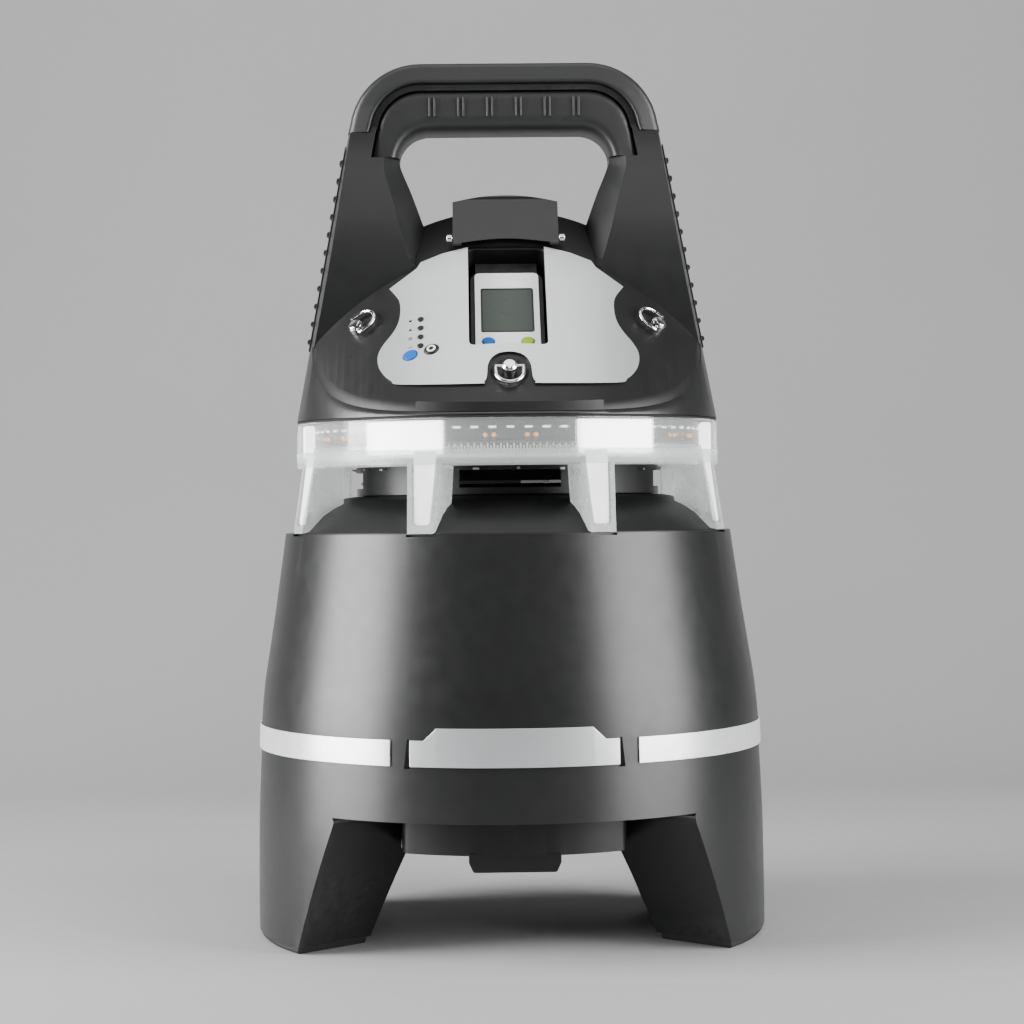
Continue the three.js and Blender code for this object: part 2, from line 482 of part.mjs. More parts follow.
const gripCut = prismY(outerShape(CAP_DEPTH + WEB - GAP), -60, 60).intersect(above(GRIP_END - GAP));
add("handle_frame", handle.subtract(capCut).subtract(gripCut).subtract(roofKeepOut), M.shell);
add("handle_cap", handle.intersect(capZone), M.rubber);
add("handle_grip", handle.intersect(gripZone), M.grip);

// Ladder of ribs down the outer side of each handle arm.
const RIBS = 11, RIB_PITCH = 10.6, RIB_FOOT = 348;
const ribProfile = [[coneR(RIB_FOOT - 4) + GAP, RIB_FOOT - 4], [coneR(RIB_FOOT - 4) + 0.9, RIB_FOOT - 4]];
for (let i = 0; i < RIBS; i++) {
  const z = RIB_FOOT + i * RIB_PITCH;
  const foot = coneR(z) + 0.9, crest = coneR(z) + 2.4;
  ribProfile.push([foot, z], [crest, z + 0.6], [crest, z + 2], [foot, z + 2.6]);
}
const ribTop = RIB_FOOT + RIBS * RIB_PITCH;
ribProfile.push([coneR(ribTop) + 0.9, ribTop], [coneR(ribTop) + GAP, ribTop], ribProfile[0]);
const ribs = lathe(ribProfile, 72);
add("right_rib_strip", ribs.intersect(box(0, 200, -13, 13, 300, 500)), M.rubber);
add("left_rib_strip", ribs.intersect(box(-200, 0, -13, 13, 300, 500)), M.rubber);

// ---- charging socket at the rear ----
const tubeY = (radius, y0, y1, segments = 24) => solid(new THREE.CylinderGeometry(
  radius, radius, y1 - y0, segments).translate(0, (y0 + y1) / 2, SOCKET_Z));
add("socket_flange", tubeY(15, 132, 146).subtract(tubeY(8.5, 138, 150))
  .add(box(-6, 6, 140.6, 146, SOCKET_Z + 12, SOCKET_Z + 19)), M.dark);
const coverTab = box(-5, 5, 146.5, 149.5, SOCKET_Z + 10, SOCKET_Z + 18);
add("socket_cover", tubeY(13, 146.5, 149.5).add(coverTab), M.rubber);

export default group;
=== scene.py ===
"""Looks of a portable area gas monitor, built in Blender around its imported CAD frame."""
import math
import random

import bmesh
import bpy
from mathutils import Matrix, Vector


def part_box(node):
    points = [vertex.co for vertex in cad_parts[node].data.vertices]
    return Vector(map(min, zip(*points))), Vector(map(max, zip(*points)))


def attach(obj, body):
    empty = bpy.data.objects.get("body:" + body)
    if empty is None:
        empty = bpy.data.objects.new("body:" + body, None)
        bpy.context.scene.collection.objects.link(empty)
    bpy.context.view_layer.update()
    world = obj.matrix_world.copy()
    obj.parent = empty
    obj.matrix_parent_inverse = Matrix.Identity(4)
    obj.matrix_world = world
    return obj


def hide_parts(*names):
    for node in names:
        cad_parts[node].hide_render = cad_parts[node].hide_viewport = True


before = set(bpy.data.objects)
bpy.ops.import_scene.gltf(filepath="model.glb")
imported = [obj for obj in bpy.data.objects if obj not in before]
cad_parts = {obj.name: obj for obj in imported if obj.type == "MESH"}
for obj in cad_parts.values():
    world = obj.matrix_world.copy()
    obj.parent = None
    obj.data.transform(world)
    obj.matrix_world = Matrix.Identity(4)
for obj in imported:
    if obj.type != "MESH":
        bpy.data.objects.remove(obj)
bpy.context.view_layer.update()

MM = 0.001
RANDOM = random.Random(7)

# ---- driving dimensions, in millimetres, as in the CAD ----
WALL = 3.5
PAD_TOP = 3.7
BASE_PROFILE = [(150, 4), (150, 30), (149.4, 70), (147.8, 108), (147.2, 128), (145.3, 148),
                (142.2, 168), (138.8, 189), (135.5, 212), (132.1, 236)]
ARCH_TOP = 80
LEG_PLANE = (0.6294, 0.6661, 0.4003, 20.0)   # x, |y| and z weights of the leg's front face, and its offset
LEG_INNER = (97.8, -0.225)                   # leg inner radius at the floor, change per mm of height
TRAY_R, TRAY_HALF, TRAY_CORE = 119, 62.7, 77
TRAY_LOW, TRAY_FLANGE = 58.7, 84.3
BAND_LOW, BAND_HIGH, PLATE_HIGH = 110.5, 124.8, 131.6
RING_LOW, RING_HIGH, RING_R = 274, 300.1, 125
PILLARS, PILLAR_FOOT_R, RIM = 8, 132, 236
DOME_TOP = 258.5
DRUM_R, DRUM_TOP = 89.8, 301.2               # horn housing
MOUTH_HALF, MOUTH_LOW, MOUTH_HIGH = 28.5, 262, 271.5
COLLAR_LOW, CONE_TAPER = 301.7, 0.19
PANEL_R, BEZEL, PLATE_T, GAP = 182, 3, 1, 0.3
PANEL_FOOT = Vector((0, -120, 311.5))
HUMP_R, HUMP_Z = 130, 297
HALF_SLOT, SLOT_LOW, SLOT_HIGH = 22.3, 42.4, 129.4
DETECTOR_HALF, DETECTOR_LOW, DETECTOR_HIGH = 21, 43.6, 115.5
DETECTOR_KEY_X, DETECTOR_KEY_V = 11.2, 54.5
HANDLE_TOP, ARM_DEPTH, HANDLE_CORNER = 513, 30, 42
CAP_DEPTH, WEB, GRIP_END, CAP_END = 13, 4, 457, 472
HINGE = Vector((0, 13, 427.5))
EAR_INNER, EAR_OUTER = 24.5, 29.5            # hinge ears of the latch flap
SOCKET_Z = 172
RIBS, RIB_PITCH, RIB_FOOT = 11, 10.6, 348    # rib strip on each arm

SLOPE = Vector((0, 1, 1)).normalized()
NORMAL = Vector((0, -1, 1)).normalized()


def cone_r(z):
    return RING_R - CONE_TAPER * (z - 300.4)


# ---- mesh tools: everything below works in millimetres until make() ----
def link(mesh, name):
    obj = bpy.data.objects.new(name, mesh)
    bpy.context.scene.collection.objects.link(obj)
    return obj


def make(name, verts, faces):
    mesh = bpy.data.meshes.new(name)
    mesh.from_pydata([Vector(v) * MM for v in verts], [], faces)
    bm = bmesh.new()
    bm.from_mesh(mesh)
    bmesh.ops.recalc_face_normals(bm, faces=bm.faces)
    bm.to_mesh(mesh)
    bm.free()
    return link(mesh, name)


def settle(obj):
    """Applies the modifiers."""
    graph = bpy.context.evaluated_depsgraph_get()
    mesh = bpy.data.meshes.new_from_object(obj.evaluated_get(graph))
    obj.modifiers.clear()
    old, obj.data = obj.data, mesh
    bpy.data.meshes.remove(old)
    return obj


def combine(obj, tool, operation="DIFFERENCE"):
    mod = obj.modifiers.new("cut", "BOOLEAN")
    mod.object, mod.operation, mod.solver = tool, operation, "MANIFOLD"
    settle(obj)
    bpy.data.objects.remove(tool)
    return obj


def cut(obj, *tools):
    for tool in tools:
        combine(obj, tool)
    return obj


def keep(obj, *tools):
    for tool in tools:
        combine(obj, tool, "INTERSECT")
    return obj


def join(obj, *tools):
    for tool in tools:
        combine(obj, tool, "UNION")
    return obj


def merge(name, parts):
    """One mesh object out of several, left as separate closed shells."""
    bm = bmesh.new()
    for part in parts:
        bm.from_mesh(part.data)
        bpy.data.objects.remove(part)
    mesh = bpy.data.meshes.new(name)
    bm.to_mesh(mesh)
    bm.free()
    return link(mesh, name)


def soften(obj, width=1.0, segments=3, angle=32):
    """Rounds the sharp edges, and shades smooth between what is left."""
    bm = bmesh.new()
    bm.from_mesh(obj.data)
    bmesh.ops.remove_doubles(bm, verts=bm.verts, dist=0.02 * MM)
    bmesh.ops.dissolve_limit(bm, angle_limit=math.radians(0.4), verts=bm.verts, edges=bm.edges)
    bm.to_mesh(obj.data)
    bm.free()
    if width:
        mod = obj.modifiers.new("edges", "BEVEL")
        mod.width, mod.segments = width * MM, segments
        mod.limit_method, mod.angle_limit = "ANGLE", math.radians(angle)
        mod.miter_outer = "MITER_ARC"
        settle(obj)
    return smooth(obj, angle)


def smooth(obj, angle=32):
    obj.data.shade_smooth()
    obj.data.set_sharp_from_angle(angle=math.radians(angle))
    mod = obj.modifiers.new("normals", "WEIGHTED_NORMAL")
    mod.keep_sharp = True
    return settle(obj)


def spline(points, steps=5):
    """Points along a smooth curve through the given ones."""
    pts = [Vector(p) for p in points]
    last = len(pts) - 1
    out = []
    for i in range(last):
        a, b, c, d = (pts[min(max(i + k, 0), last)] for k in (-1, 0, 1, 2))
        for s in range(steps):
            t = s / steps
            out.append(0.5 * (2 * b + (c - a) * t + (2 * a - 5 * b + 4 * c - d) * t * t
                              + (3 * b - a - 3 * c + d) * t ** 3))
    out.append(pts[-1])
    return [tuple(p) for p in out]


def rounded(points, radii, steps=6):
    """A closed 2-D outline with each corner rounded by its radius."""
    out = []
    count = len(points)
    for i, point in enumerate(points):
        radius = radii[i] if isinstance(radii, (list, tuple)) else radii
        p = Vector(point)
        before, after = Vector(points[i - 1]) - p, Vector(points[(i + 1) % count]) - p
        turn = before.angle(after) / 2
        if radius <= 0 or turn > math.radians(88):
            out.append(tuple(p))
            continue
        reach = min(radius / math.tan(turn), before.length * 0.48, after.length * 0.48)
        start, end = p + before.normalized() * reach, p + after.normalized() * reach
        for k in range(steps + 1):
            t = k / steps
            out.append(tuple(start * (1 - t) ** 2 + p * 2 * t * (1 - t) + end * t * t))
    return out


def mirrored(half):
    """A closed outline from its right half, given from top to bottom or back."""
    return list(half) + [(-x, z) for x, z in reversed(half) if abs(x) > 1e-6]


def lathe(name, profile, segments=160):
    """Turns (radius, height) points about Z. The profile closes on itself or on the axis."""
    angles = [2 * math.pi * i / segments for i in range(segments)]
    verts, rows = [], []
    for r, z in profile:
        if r < 1e-6:
            rows.append([len(verts)] * segments)
            verts.append((0, 0, z))
        else:
            rows.append(list(range(len(verts), len(verts) + segments)))
            verts += [(r * math.sin(a), -r * math.cos(a), z) for a in angles]
    faces = []
    for low, high in zip(rows, rows[1:] + rows[:1]):
        for i in range(segments):
            j = (i + 1) % segments
            face = list(dict.fromkeys([low[i], low[j], high[j], high[i]]))
            if len(face) > 2:
                faces.append(face)
    return make(name, verts, faces)


def loft(name, rings, close=False):
    """Skins rings of 3-D points that all have the same number of points."""
    verts = [p for ring in rings for p in ring]
    n = len(rings[0])
    faces = []
    spans = len(rings) if close else len(rings) - 1
    for k in range(spans):
        a, b = k * n, ((k + 1) % len(rings)) * n
        faces += [(a + i, a + (i + 1) % n, b + (i + 1) % n, b + i) for i in range(n)]
    if not close:
        faces += [tuple(range(n)), tuple(range(len(verts) - n, len(verts)))]
    return make(name, verts, faces)


def disc(radius, z0, z1, segments=40, name="tool"):
    return lathe(name, [(0, z0), (radius, z0), (radius, z1), (0, z1)], segments)


def ring_points(radius, count):
    angles = [2 * math.pi * i / count for i in range(count)]
    return [(radius * math.cos(a), radius * math.sin(a)) for a in angles]


def about_z(degrees):
    return Matrix.Rotation(math.radians(degrees), 4, "Z")


def pillar_turn(k):
    return about_z(360 / PILLARS * (k + 0.5))


def slab_x(name, outline, x0, x1):
    return loft(name, [[(x, y, z) for y, z in outline] for x in (x0, x1)])


def slab_y(name, outline, y0, y1):
    return loft(name, [[(x, y, z) for x, z in outline] for y in (y0, y1)])


def slab_z(name, outline, z0, z1):
    return loft(name, [[(x, y, z) for x, y in outline] for z in (z0, z1)])


def block(name, x0, x1, y0, y1, z0, z1):
    return slab_z(name, [(x0, y0), (x1, y0), (x1, y1), (x0, y1)], z0, z1)


def place(obj, matrix):
    """Moves a mesh by a matrix whose offsets are in millimetres."""
    m = matrix.copy()
    m.translation *= MM
    obj.data.transform(m)
    return obj


def on_panel(x, v):
    """Matrix of a spot on the sloping panel: X across, Y up the slope, Z outwards."""
    lean = math.asin(x / PANEL_R)
    out = NORMAL * math.cos(lean) + Vector((math.sin(lean), 0, 0))
    across = SLOPE.cross(out).normalized()
    spot = PANEL_FOOT + SLOPE * v - NORMAL * PANEL_R * (1 - math.cos(lean))
    spot.x = x
    return Matrix.Translation(spot) @ Matrix((across, SLOPE, out)).transposed().to_4x4()


def slope_at(x, z):
    """How far up the slope the panel reaches height z at this x."""
    return (z - PANEL_FOOT.z) * math.sqrt(2) + PANEL_R * (1 - math.cos(math.asin(x / PANEL_R)))


ACROSS = Vector((1, 0, 0))
PANEL_FLAT = Matrix.Translation(PANEL_FOOT) @ Matrix((ACROSS, SLOPE, NORMAL)).transposed().to_4x4()


def panel_block(x0, x1, v0, v1, w0, w1, radius=0):
    outline = rounded([(x0, v0), (x1, v0), (x1, v1), (x0, v1)], radius)
    return place(slab_z("tool", outline, w0, w1), PANEL_FLAT)


def panel_cylinder(radius, front=True, segments=256):
    """The cylinder that the sloping front, or the rear slope, is part of."""
    rings = [[(a, v, b - PANEL_R) for a, b in ring_points(radius, segments)] for v in (-260, 440)]
    tool = place(loft("tool", rings), PANEL_FLAT)
    if not front:
        place(tool, about_z(180))
    return tool


def hump_cylinder(grow, segments=256):
    ring = [(x, HUMP_Z + z) for x, z in ring_points(HUMP_R + grow, segments)]
    return slab_y("tool", ring, -150, 150)


def cone(z0, z1, grow, segments=192):
    return lathe("tool", [(0, z0), (cone_r(z0) + grow, z0), (cone_r(z1) + grow, z1), (0, z1)], segments)


def roof(z0, front, rear, grow):
    """The top housing's solid form: a cone under both slopes and the rounded ridge."""
    return keep(cone(z0, 440, grow), panel_cylinder(PANEL_R + front), panel_cylinder(PANEL_R + rear, False),
                hump_cylinder(rear))


# ---- materials ----
def material(name, color, rough, metal=0.0, grain=0.0, grain_size=0.6, shade=0.12, shade_size=60,
             rough_spread=0.08, wear=0.0, **sockets):
    """A moulded or metal surface: slow shade changes, patches of gloss, fine grain and rubbed edges."""
    mat = bpy.data.materials.new(name)
    mat.use_nodes = True
    nodes, links = mat.node_tree.nodes, mat.node_tree.links
    shader = nodes["Principled BSDF"]
    coords = nodes.new("ShaderNodeTexCoord")

    def noise(size_mm, detail):
        node = nodes.new("ShaderNodeTexNoise")
        node.inputs["Scale"].default_value = 1000 / size_mm
        node.inputs["Detail"].default_value = detail
        links.new(coords.outputs["Object"], node.inputs["Vector"])
        return node.outputs["Fac"]

    def ramp(source, low, high, start=0.3, end=0.7):
        node = nodes.new("ShaderNodeMapRange")
        node.inputs["From Min"].default_value = start
        node.inputs["From Max"].default_value = end
        node.inputs["To Min"].default_value = low
        node.inputs["To Max"].default_value = high
        links.new(source, node.inputs["Value"])
        return node.outputs["Result"]

    slow, fine = noise(shade_size, 3), noise(9, 5)
    value = nodes.new("ShaderNodeHueSaturation")
    value.inputs["Color"].default_value = (*color, 1)
    links.new(ramp(slow, 1 - shade, 1 + shade), value.inputs["Value"])
    tint = value.outputs["Color"]
    roughness = ramp(fine, rough - rough_spread, rough + rough_spread)
    if wear:
        geometry = nodes.new("ShaderNodeNewGeometry")
        edge = ramp(geometry.outputs["Pointiness"], 0, wear, 0.52, 0.6)
        broken = nodes.new("ShaderNodeMath")
        broken.operation = "MULTIPLY"
        links.new(edge, broken.inputs[0])
        links.new(ramp(noise(4, 4), 0, 1, 0.35, 0.65), broken.inputs[1])
        mix = nodes.new("ShaderNodeMix")
        mix.data_type = "RGBA"
        mix.inputs["B"].default_value = (*[min(1, c * 2.2 + 0.03) for c in color], 1)
        links.new(broken.outputs["Value"], mix.inputs["Factor"])
        links.new(tint, mix.inputs["A"])
        tint = mix.outputs["Result"]
    links.new(tint, shader.inputs["Base Color"])
    links.new(roughness, shader.inputs["Roughness"])
    shader.inputs["Metallic"].default_value = metal
    if grain:
        bump = nodes.new("ShaderNodeBump")
        bump.inputs["Strength"].default_value = grain
        bump.inputs["Distance"].default_value = 0.0003
        links.new(noise(grain_size, 2), bump.inputs["Height"])
        links.new(bump.outputs["Normal"], shader.inputs["Normal"])
    for socket, setting in sockets.items():
        shader.inputs[socket.replace("_", " ")].default_value = setting
    return mat


M = {
    "shell_plastic": material("shell plastic", (0.009, 0.0092, 0.0095), 0.33, grain=0.1, rough_spread=0.025,
                              shade=0.08, wear=0.25),
    "dark_plastic": material("dark plastic", (0.0045, 0.0046, 0.0047), 0.42, grain=0.16, rough_spread=0.03,
                             shade=0.08, wear=0.2, Specular_IOR_Level=0.36),
    "bezel_plastic": material("bezel plastic", (0.0045, 0.0046, 0.0047), 0.44, grain=0.16, shade=0.08,
                              rough_spread=0.03, Specular_IOR_Level=0.32),
    "rubber": material("rubber", (0.009, 0.009, 0.009), 0.62, grain=0.5, rough_spread=0.04, wear=0.2),
    "soft_grip": material("soft grip", (0.0095, 0.0098, 0.01), 0.42, grain=0.3, grain_size=0.45,
                          rough_spread=0.03, shade=0.08, wear=0.2),
    "silver_plate": material("silver plate", (0.62, 0.63, 0.64), 0.36, 0.7, grain=0.06, shade=0.02,
                             grain_size=0.35, rough_spread=0.012),
    "reflective_band": material("reflective band", (0.8, 0.81, 0.82), 0.28, 0.5, grain=0.2, grain_size=0.8,
                                shade=0.02, rough_spread=0.02),
    "chrome": material("chrome", (0.86, 0.86, 0.87), 0.09, 1.0, grain=0.05, shade=0.04, rough_spread=0.04),
    "steel": material("steel", (0.5, 0.5, 0.51), 0.32, 1.0, grain=0.1, shade=0.08),
    "circuit_board": material("circuit board", (0.012, 0.014, 0.013), 0.5, grain=0.2),
    "battery_case": material("battery case", (0.04, 0.045, 0.06), 0.5, grain=0.2),
    "white_plastic": material("white plastic", (0.75, 0.76, 0.76), 0.3, grain=0.05, shade=0.02),
    "dark_lens": material("dark lens", (0.05, 0.06, 0.052), 0.3, grain=0.02, shade=0.06, rough_spread=0.03,
                          Specular_IOR_Level=0.12),
    "blue_key": material("blue key", (0.001, 0.1, 0.4), 0.34, grain=0.08, shade=0.05,
                         Specular_IOR_Level=0.15),
    "green_key": material("green key", (0.24, 0.42, 0.005), 0.34, grain=0.08, shade=0.05,
                          Specular_IOR_Level=0.15),
    "clear_lens": material("clear lens", (0.9, 0.92, 0.92), 0.1, grain=0.04, shade=0.02, rough_spread=0.05,
                           Transmission_Weight=0.6, IOR=1.45, Alpha=0.3),
    "frosted_lens": material("frosted lens", (0.6, 0.63, 0.63), 0.28, grain=0.1, shade=0.03,
                             rough_spread=0.06, Transmission_Weight=0.5, IOR=1.4, Alpha=0.62,
                             Emission_Color=(1, 1, 1, 1),
                             Emission_Strength=0.16),
    "pillar_glow": material("pillar glow", (0.9, 0.91, 0.91), 0.35, grain=0.1, shade=0.12, shade_size=14,
                            Alpha=0.9, Emission_Color=(1, 1, 1, 1), Emission_Strength=0.5),
    "diffuser": material("diffuser", (0.95, 0.96, 0.97), 0.4, grain=0.05, shade=0.02,
                         Emission_Color=(1, 1, 1, 1), Emission_Strength=4.5),
    "smd_white": material("small white lamp", (0.95, 0.95, 0.95), 0.3, grain=0.05,
                          Emission_Color=(1, 1, 1, 1), Emission_Strength=1.6),
    "comb_plastic": material("comb plastic", (0.62, 0.64, 0.63), 0.35, grain=0.05, shade=0.05),
    "amber": material("amber part", (0.85, 0.32, 0.01), 0.35, grain=0.05, Emission_Color=(1, 0.38, 0.02, 1),
                      Emission_Strength=0.7),
}


def finish_piece(obj, name, slot, body="housing", replaces=(), look=None):
    obj.name = name
    obj.data.name = name
    obj.data.materials.clear()
    obj.data.materials.append(M[look or slot])
    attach(obj, body)
    if replaces:
        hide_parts(*replaces)
    return obj


# ---- base ----
def arch_cutter(side, top, inset=0.0, corner=8):
    """The space between the legs at the front (side -1) or the rear (side +1)."""
    nx, ny, nz, offset = LEG_PLANE

    def edge(y, z):
        return (offset + inset + ny * y - nz * z) / nx

    rings = []
    for y in (6, 240):
        half = [(edge(y, top), top), (edge(y, -5), -5)]
        outline = [half[0], half[1], (-half[1][0], -5), (-half[0][0], top)]
        rings.append([(x, side * y, z) for x, z in rounded(outline, [corner, 0, 0, corner])])
    return loft("tool", rings)


def tray_outline(grow=0.0):
    """Plan of the tray: a round core with a bulge to the front and one to the rear."""
    half_width, bulge_r, core_r = TRAY_HALF + grow, TRAY_R + grow, TRAY_CORE + grow
    tip, neck = math.asin(half_width / bulge_r), math.asin(half_width / core_r)
    bulge = [(bulge_r * math.sin(tip * k / 8), -bulge_r * math.cos(tip * k / 8)) for k in range(9)]
    core = [(core_r * math.sin(a), -core_r * math.cos(a))
            for a in (neck + (math.pi / 2 - neck) * k / 4 for k in range(1, 5))]
    quarter = bulge + [(half_width, -math.sqrt(core_r ** 2 - half_width ** 2))] + core
    radii = [0] * 8 + [9, 3] + [0] * 4
    right = quarter + [(x, -y) for x, y in reversed(quarter[:-1])]
    right_radii = radii + list(reversed(radii[:-1]))
    outline = right + [(-x, y) for x, y in reversed(right[1:-1])]
    return rounded(outline, right_radii + list(reversed(right_radii[1:-1])), 5)


def base_r(z):
    for (r0, z0), (r1, z1) in zip(BASE_PROFILE, BASE_PROFILE[1:]):
        if z <= z1:
            return r0 + (r1 - r0) * (z - z0) / (z1 - z0)
    return BASE_PROFILE[-1][0]


def plate_groove(side):
    """Cutter for the dark slanting groove beside one end of the front plate."""
    x, low, high = side * 58.3, BAND_LOW - 1.2, BAND_HIGH + 0.6
    if side > 0:
        outline = [(x - 1.7, low), (x + 1.9, low), (x + 0.1, high), (x - 0.9, high)]
    else:
        outline = [(x - 1.9, low), (x + 1.7, low), (x + 0.9, high), (x - 0.1, high)]
    return slab_y("tool", outline, -150, -133.6)


def build_base_shell():
    outer = spline(BASE_PROFILE, 4)
    ceiling = 84
    inner_leg = [(LEG_INNER[0] + LEG_INNER[1] * z, z) for z in (ceiling, 4)]
    inner = [(r - WALL, z) for r, z in reversed(outer) if z > ceiling]
    shell = lathe("shell", outer + inner + [(base_r(ceiling) - WALL, ceiling)] + inner_leg, 224)
    soffit = []
    for side in (-1, 1):
        under = lathe("tool", [(0, -6), (145, -6), (144.3, 96), (0, 96)], 224)
        soffit.append(keep(arch_cutter(side, 96, corner=0), under))
    cut(shell, arch_cutter(-1, ARCH_TOP), arch_cutter(1, ARCH_TOP), *soffit)
    cut(shell, slab_z("tool", tray_outline(1.2), TRAY_LOW - 3, 84.1))
    cut(shell, plate_groove(-1), plate_groove(1))
    hole = [(x, SOCKET_Z + z) for x, z in ring_points(15.3, 40)]
    cut(shell, slab_y("tool", hole, 120, 160))
    for k in range(PILLARS):
        cut(shell, place(block("tool", -8.2, 8.2, -134, -128.8, RIM - 1.2, RIM + 4), pillar_turn(k)))
    finish_piece(soften(shell, 1.3), "base_shell_moulding", "shell_plastic", replaces=["base_shell"])


def build_foot_pads():
    r_in, r_out = LEG_INNER[0] + 1.2, 148.8
    for name, side in (("right", 1), ("left", -1)):
        profile = [(r_in, 0), (r_out - 1.6, 0), (r_out, 1.6), (r_out, PAD_TOP), (r_in, PAD_TOP)]
        pad = lathe("pad", profile, 224)
        cut(pad, arch_cutter(-1, 60, 1.2), arch_cutter(1, 60, 1.2))
        cut(pad, block("tool", *((-200, 0) if side > 0 else (0, 200)), -200, 200, -5, 20))
        finish_piece(soften(pad, 0.6), f"{name}_foot_rubber", "rubber", replaces=[f"{name}_foot_pad"])


def build_tray():
    tray = slab_z("tray", tray_outline(), TRAY_LOW, TRAY_FLANGE + 3)
    join(tray, disc(base_r(TRAY_FLANGE) - WALL - 0.6, TRAY_FLANGE, TRAY_FLANGE + 3.5, 160))
    tab = [(-25.5, 60), (-25.5, 55), (-23, 49.6), (23, 49.6), (25.5, 55), (25.5, 60)]
    join(tray, slab_y("tool", rounded(tab, [0, 1.5, 2, 2, 1.5, 0]), -117.6, -96))
    cut(tray, block("tool", -19, 19, -112, -101, 40, 56))
    finish_piece(soften(tray, 1.4), "tray_moulding", "dark_plastic", replaces=["bottom_tray"])


def band_piece(name, angles, top, proud, slot, node, rows=5):
    """A curved strip that stands on the base, from BAND_LOW up to a height that depends on the angle."""
    rings = []
    for a in angles:
        heights = [BAND_LOW + (top(a) - BAND_LOW) * k / (rows - 1) for k in range(rows)]
        front = [(base_r(z) + proud, z) for z in heights]
        back = [(base_r(z) + GAP, z) for z in reversed(heights)]
        rings.append([(r * math.sin(a), -r * math.cos(a), z) for r, z in front + back])
    finish_piece(soften(loft(name, rings), 0.35, 2, 40), name, slot, replaces=[node])


def build_bands():
    for name, start, end in (("right", 27.2, 176), ("left", 184, 332.8)):
        angles = [math.radians(start + (end - start) * k / 100) for k in range(101)]
        band_piece(f"{name}_reflector", angles, lambda a: BAND_HIGH, 1.1, "reflective_band", f"{name}_band")
    shoulder, crest, tip = (math.asin(x / base_r(BAND_HIGH)) for x in (49.2, 42.3, 56.6))

    def top(a):
        t = min(1, max(0, (shoulder - abs(a)) / (shoulder - crest)))
        return BAND_HIGH + (PLATE_HIGH - BAND_HIGH) * t

    half = sorted([tip * k / 8 for k in range(7)] + [crest, shoulder, (shoulder + tip) / 2, tip])
    angles = [-a for a in reversed(half[1:])] + half
    band_piece("front_badge_plate", angles, top, 1.3, "silver_plate", "front_plate")


def build_dome():
    crown = [(60, DOME_TOP), (92, 257.2), (107, 252.9), (119, 246), (128.2, 236.4)]
    under = [(128.2, 233.6), (125.6, 233.6), (105.6, 249), (91, 253.8), (60, DOME_TOP - 3),
             (0, DOME_TOP - 3)]
    dome = soften(lathe("dome", [(0, DOME_TOP)] + spline(crown, 8) + under), 0.6)
    finish_piece(dome, "sound_deflector", "dark_plastic", replaces=["deflector_dome"])


# ---- light ring ----
def pillar_shape():
    """A pillar at the front: a flared block with a raised border, hollowed from behind."""
    foot, head, border = RIM + 0.5, RING_LOW + 1.5, 2.6
    lean = 2.5 / (RING_LOW - RIM)

    def half_width(z):
        return 10 - lean * (RING_LOW - z)

    def outer_y(z):
        return -PILLAR_FOOT_R + (PILLAR_FOOT_R - RING_R) * (z - foot) / (head - foot)

    outline = [(-107, 253.3), (-113, 250.4), (-119, 246.5), (-128, 237.3), (-PILLAR_FOOT_R, foot),
               (-RING_R, head), (-107, head)]
    body = loft("pillar", [[(s * half_width(z), y, z) for y, z in outline] for s in (-1, 1)])
    z_low, z_high = RIM + 4.5, RING_LOW + 8
    low, high = half_width(z_low) - border, half_width(z_high) - border
    corners = rounded([(-low, z_low), (low, z_low), (high, z_high), (-high, z_high)], [3, 3, 0, 0])
    cut(body, loft("tool", [[(x, outer_y(z) + depth, z) for x, z in corners] for depth in (-3, 1.9)]))
    hollow, z_top = [], RING_LOW - 1.5
    for y, z_foot in ((-121.5, 243.5), (-104, 256)):
        corners = rounded([(-5.5, z_foot), (5.5, z_foot), (7.6, z_top), (-7.6, z_top)], [2, 2, 0, 0])
        hollow.append([(x, y, z) for x, z in corners])
    return cut(body, loft("tool", hollow))


def pillar_glow():
    """The bright face inside a pillar's raised border."""
    low, high = RIM + 5.2, RING_LOW + 8
    y_low = -PILLAR_FOOT_R + (PILLAR_FOOT_R - RING_R) * (low - RIM) / (RING_LOW - RIM)
    rise = (0.3 - RING_R - y_low) / (high - low)
    corners = rounded([(-4.6, low), (4.6, low), (6.9, high), (-6.9, high)], [2.4, 2.4, 0, 0])
    rings = [[(x, y_low + rise * (z - low) + depth, z) for x, z in corners] for depth in (2.4, 1.5)]
    return loft("glow", rings)


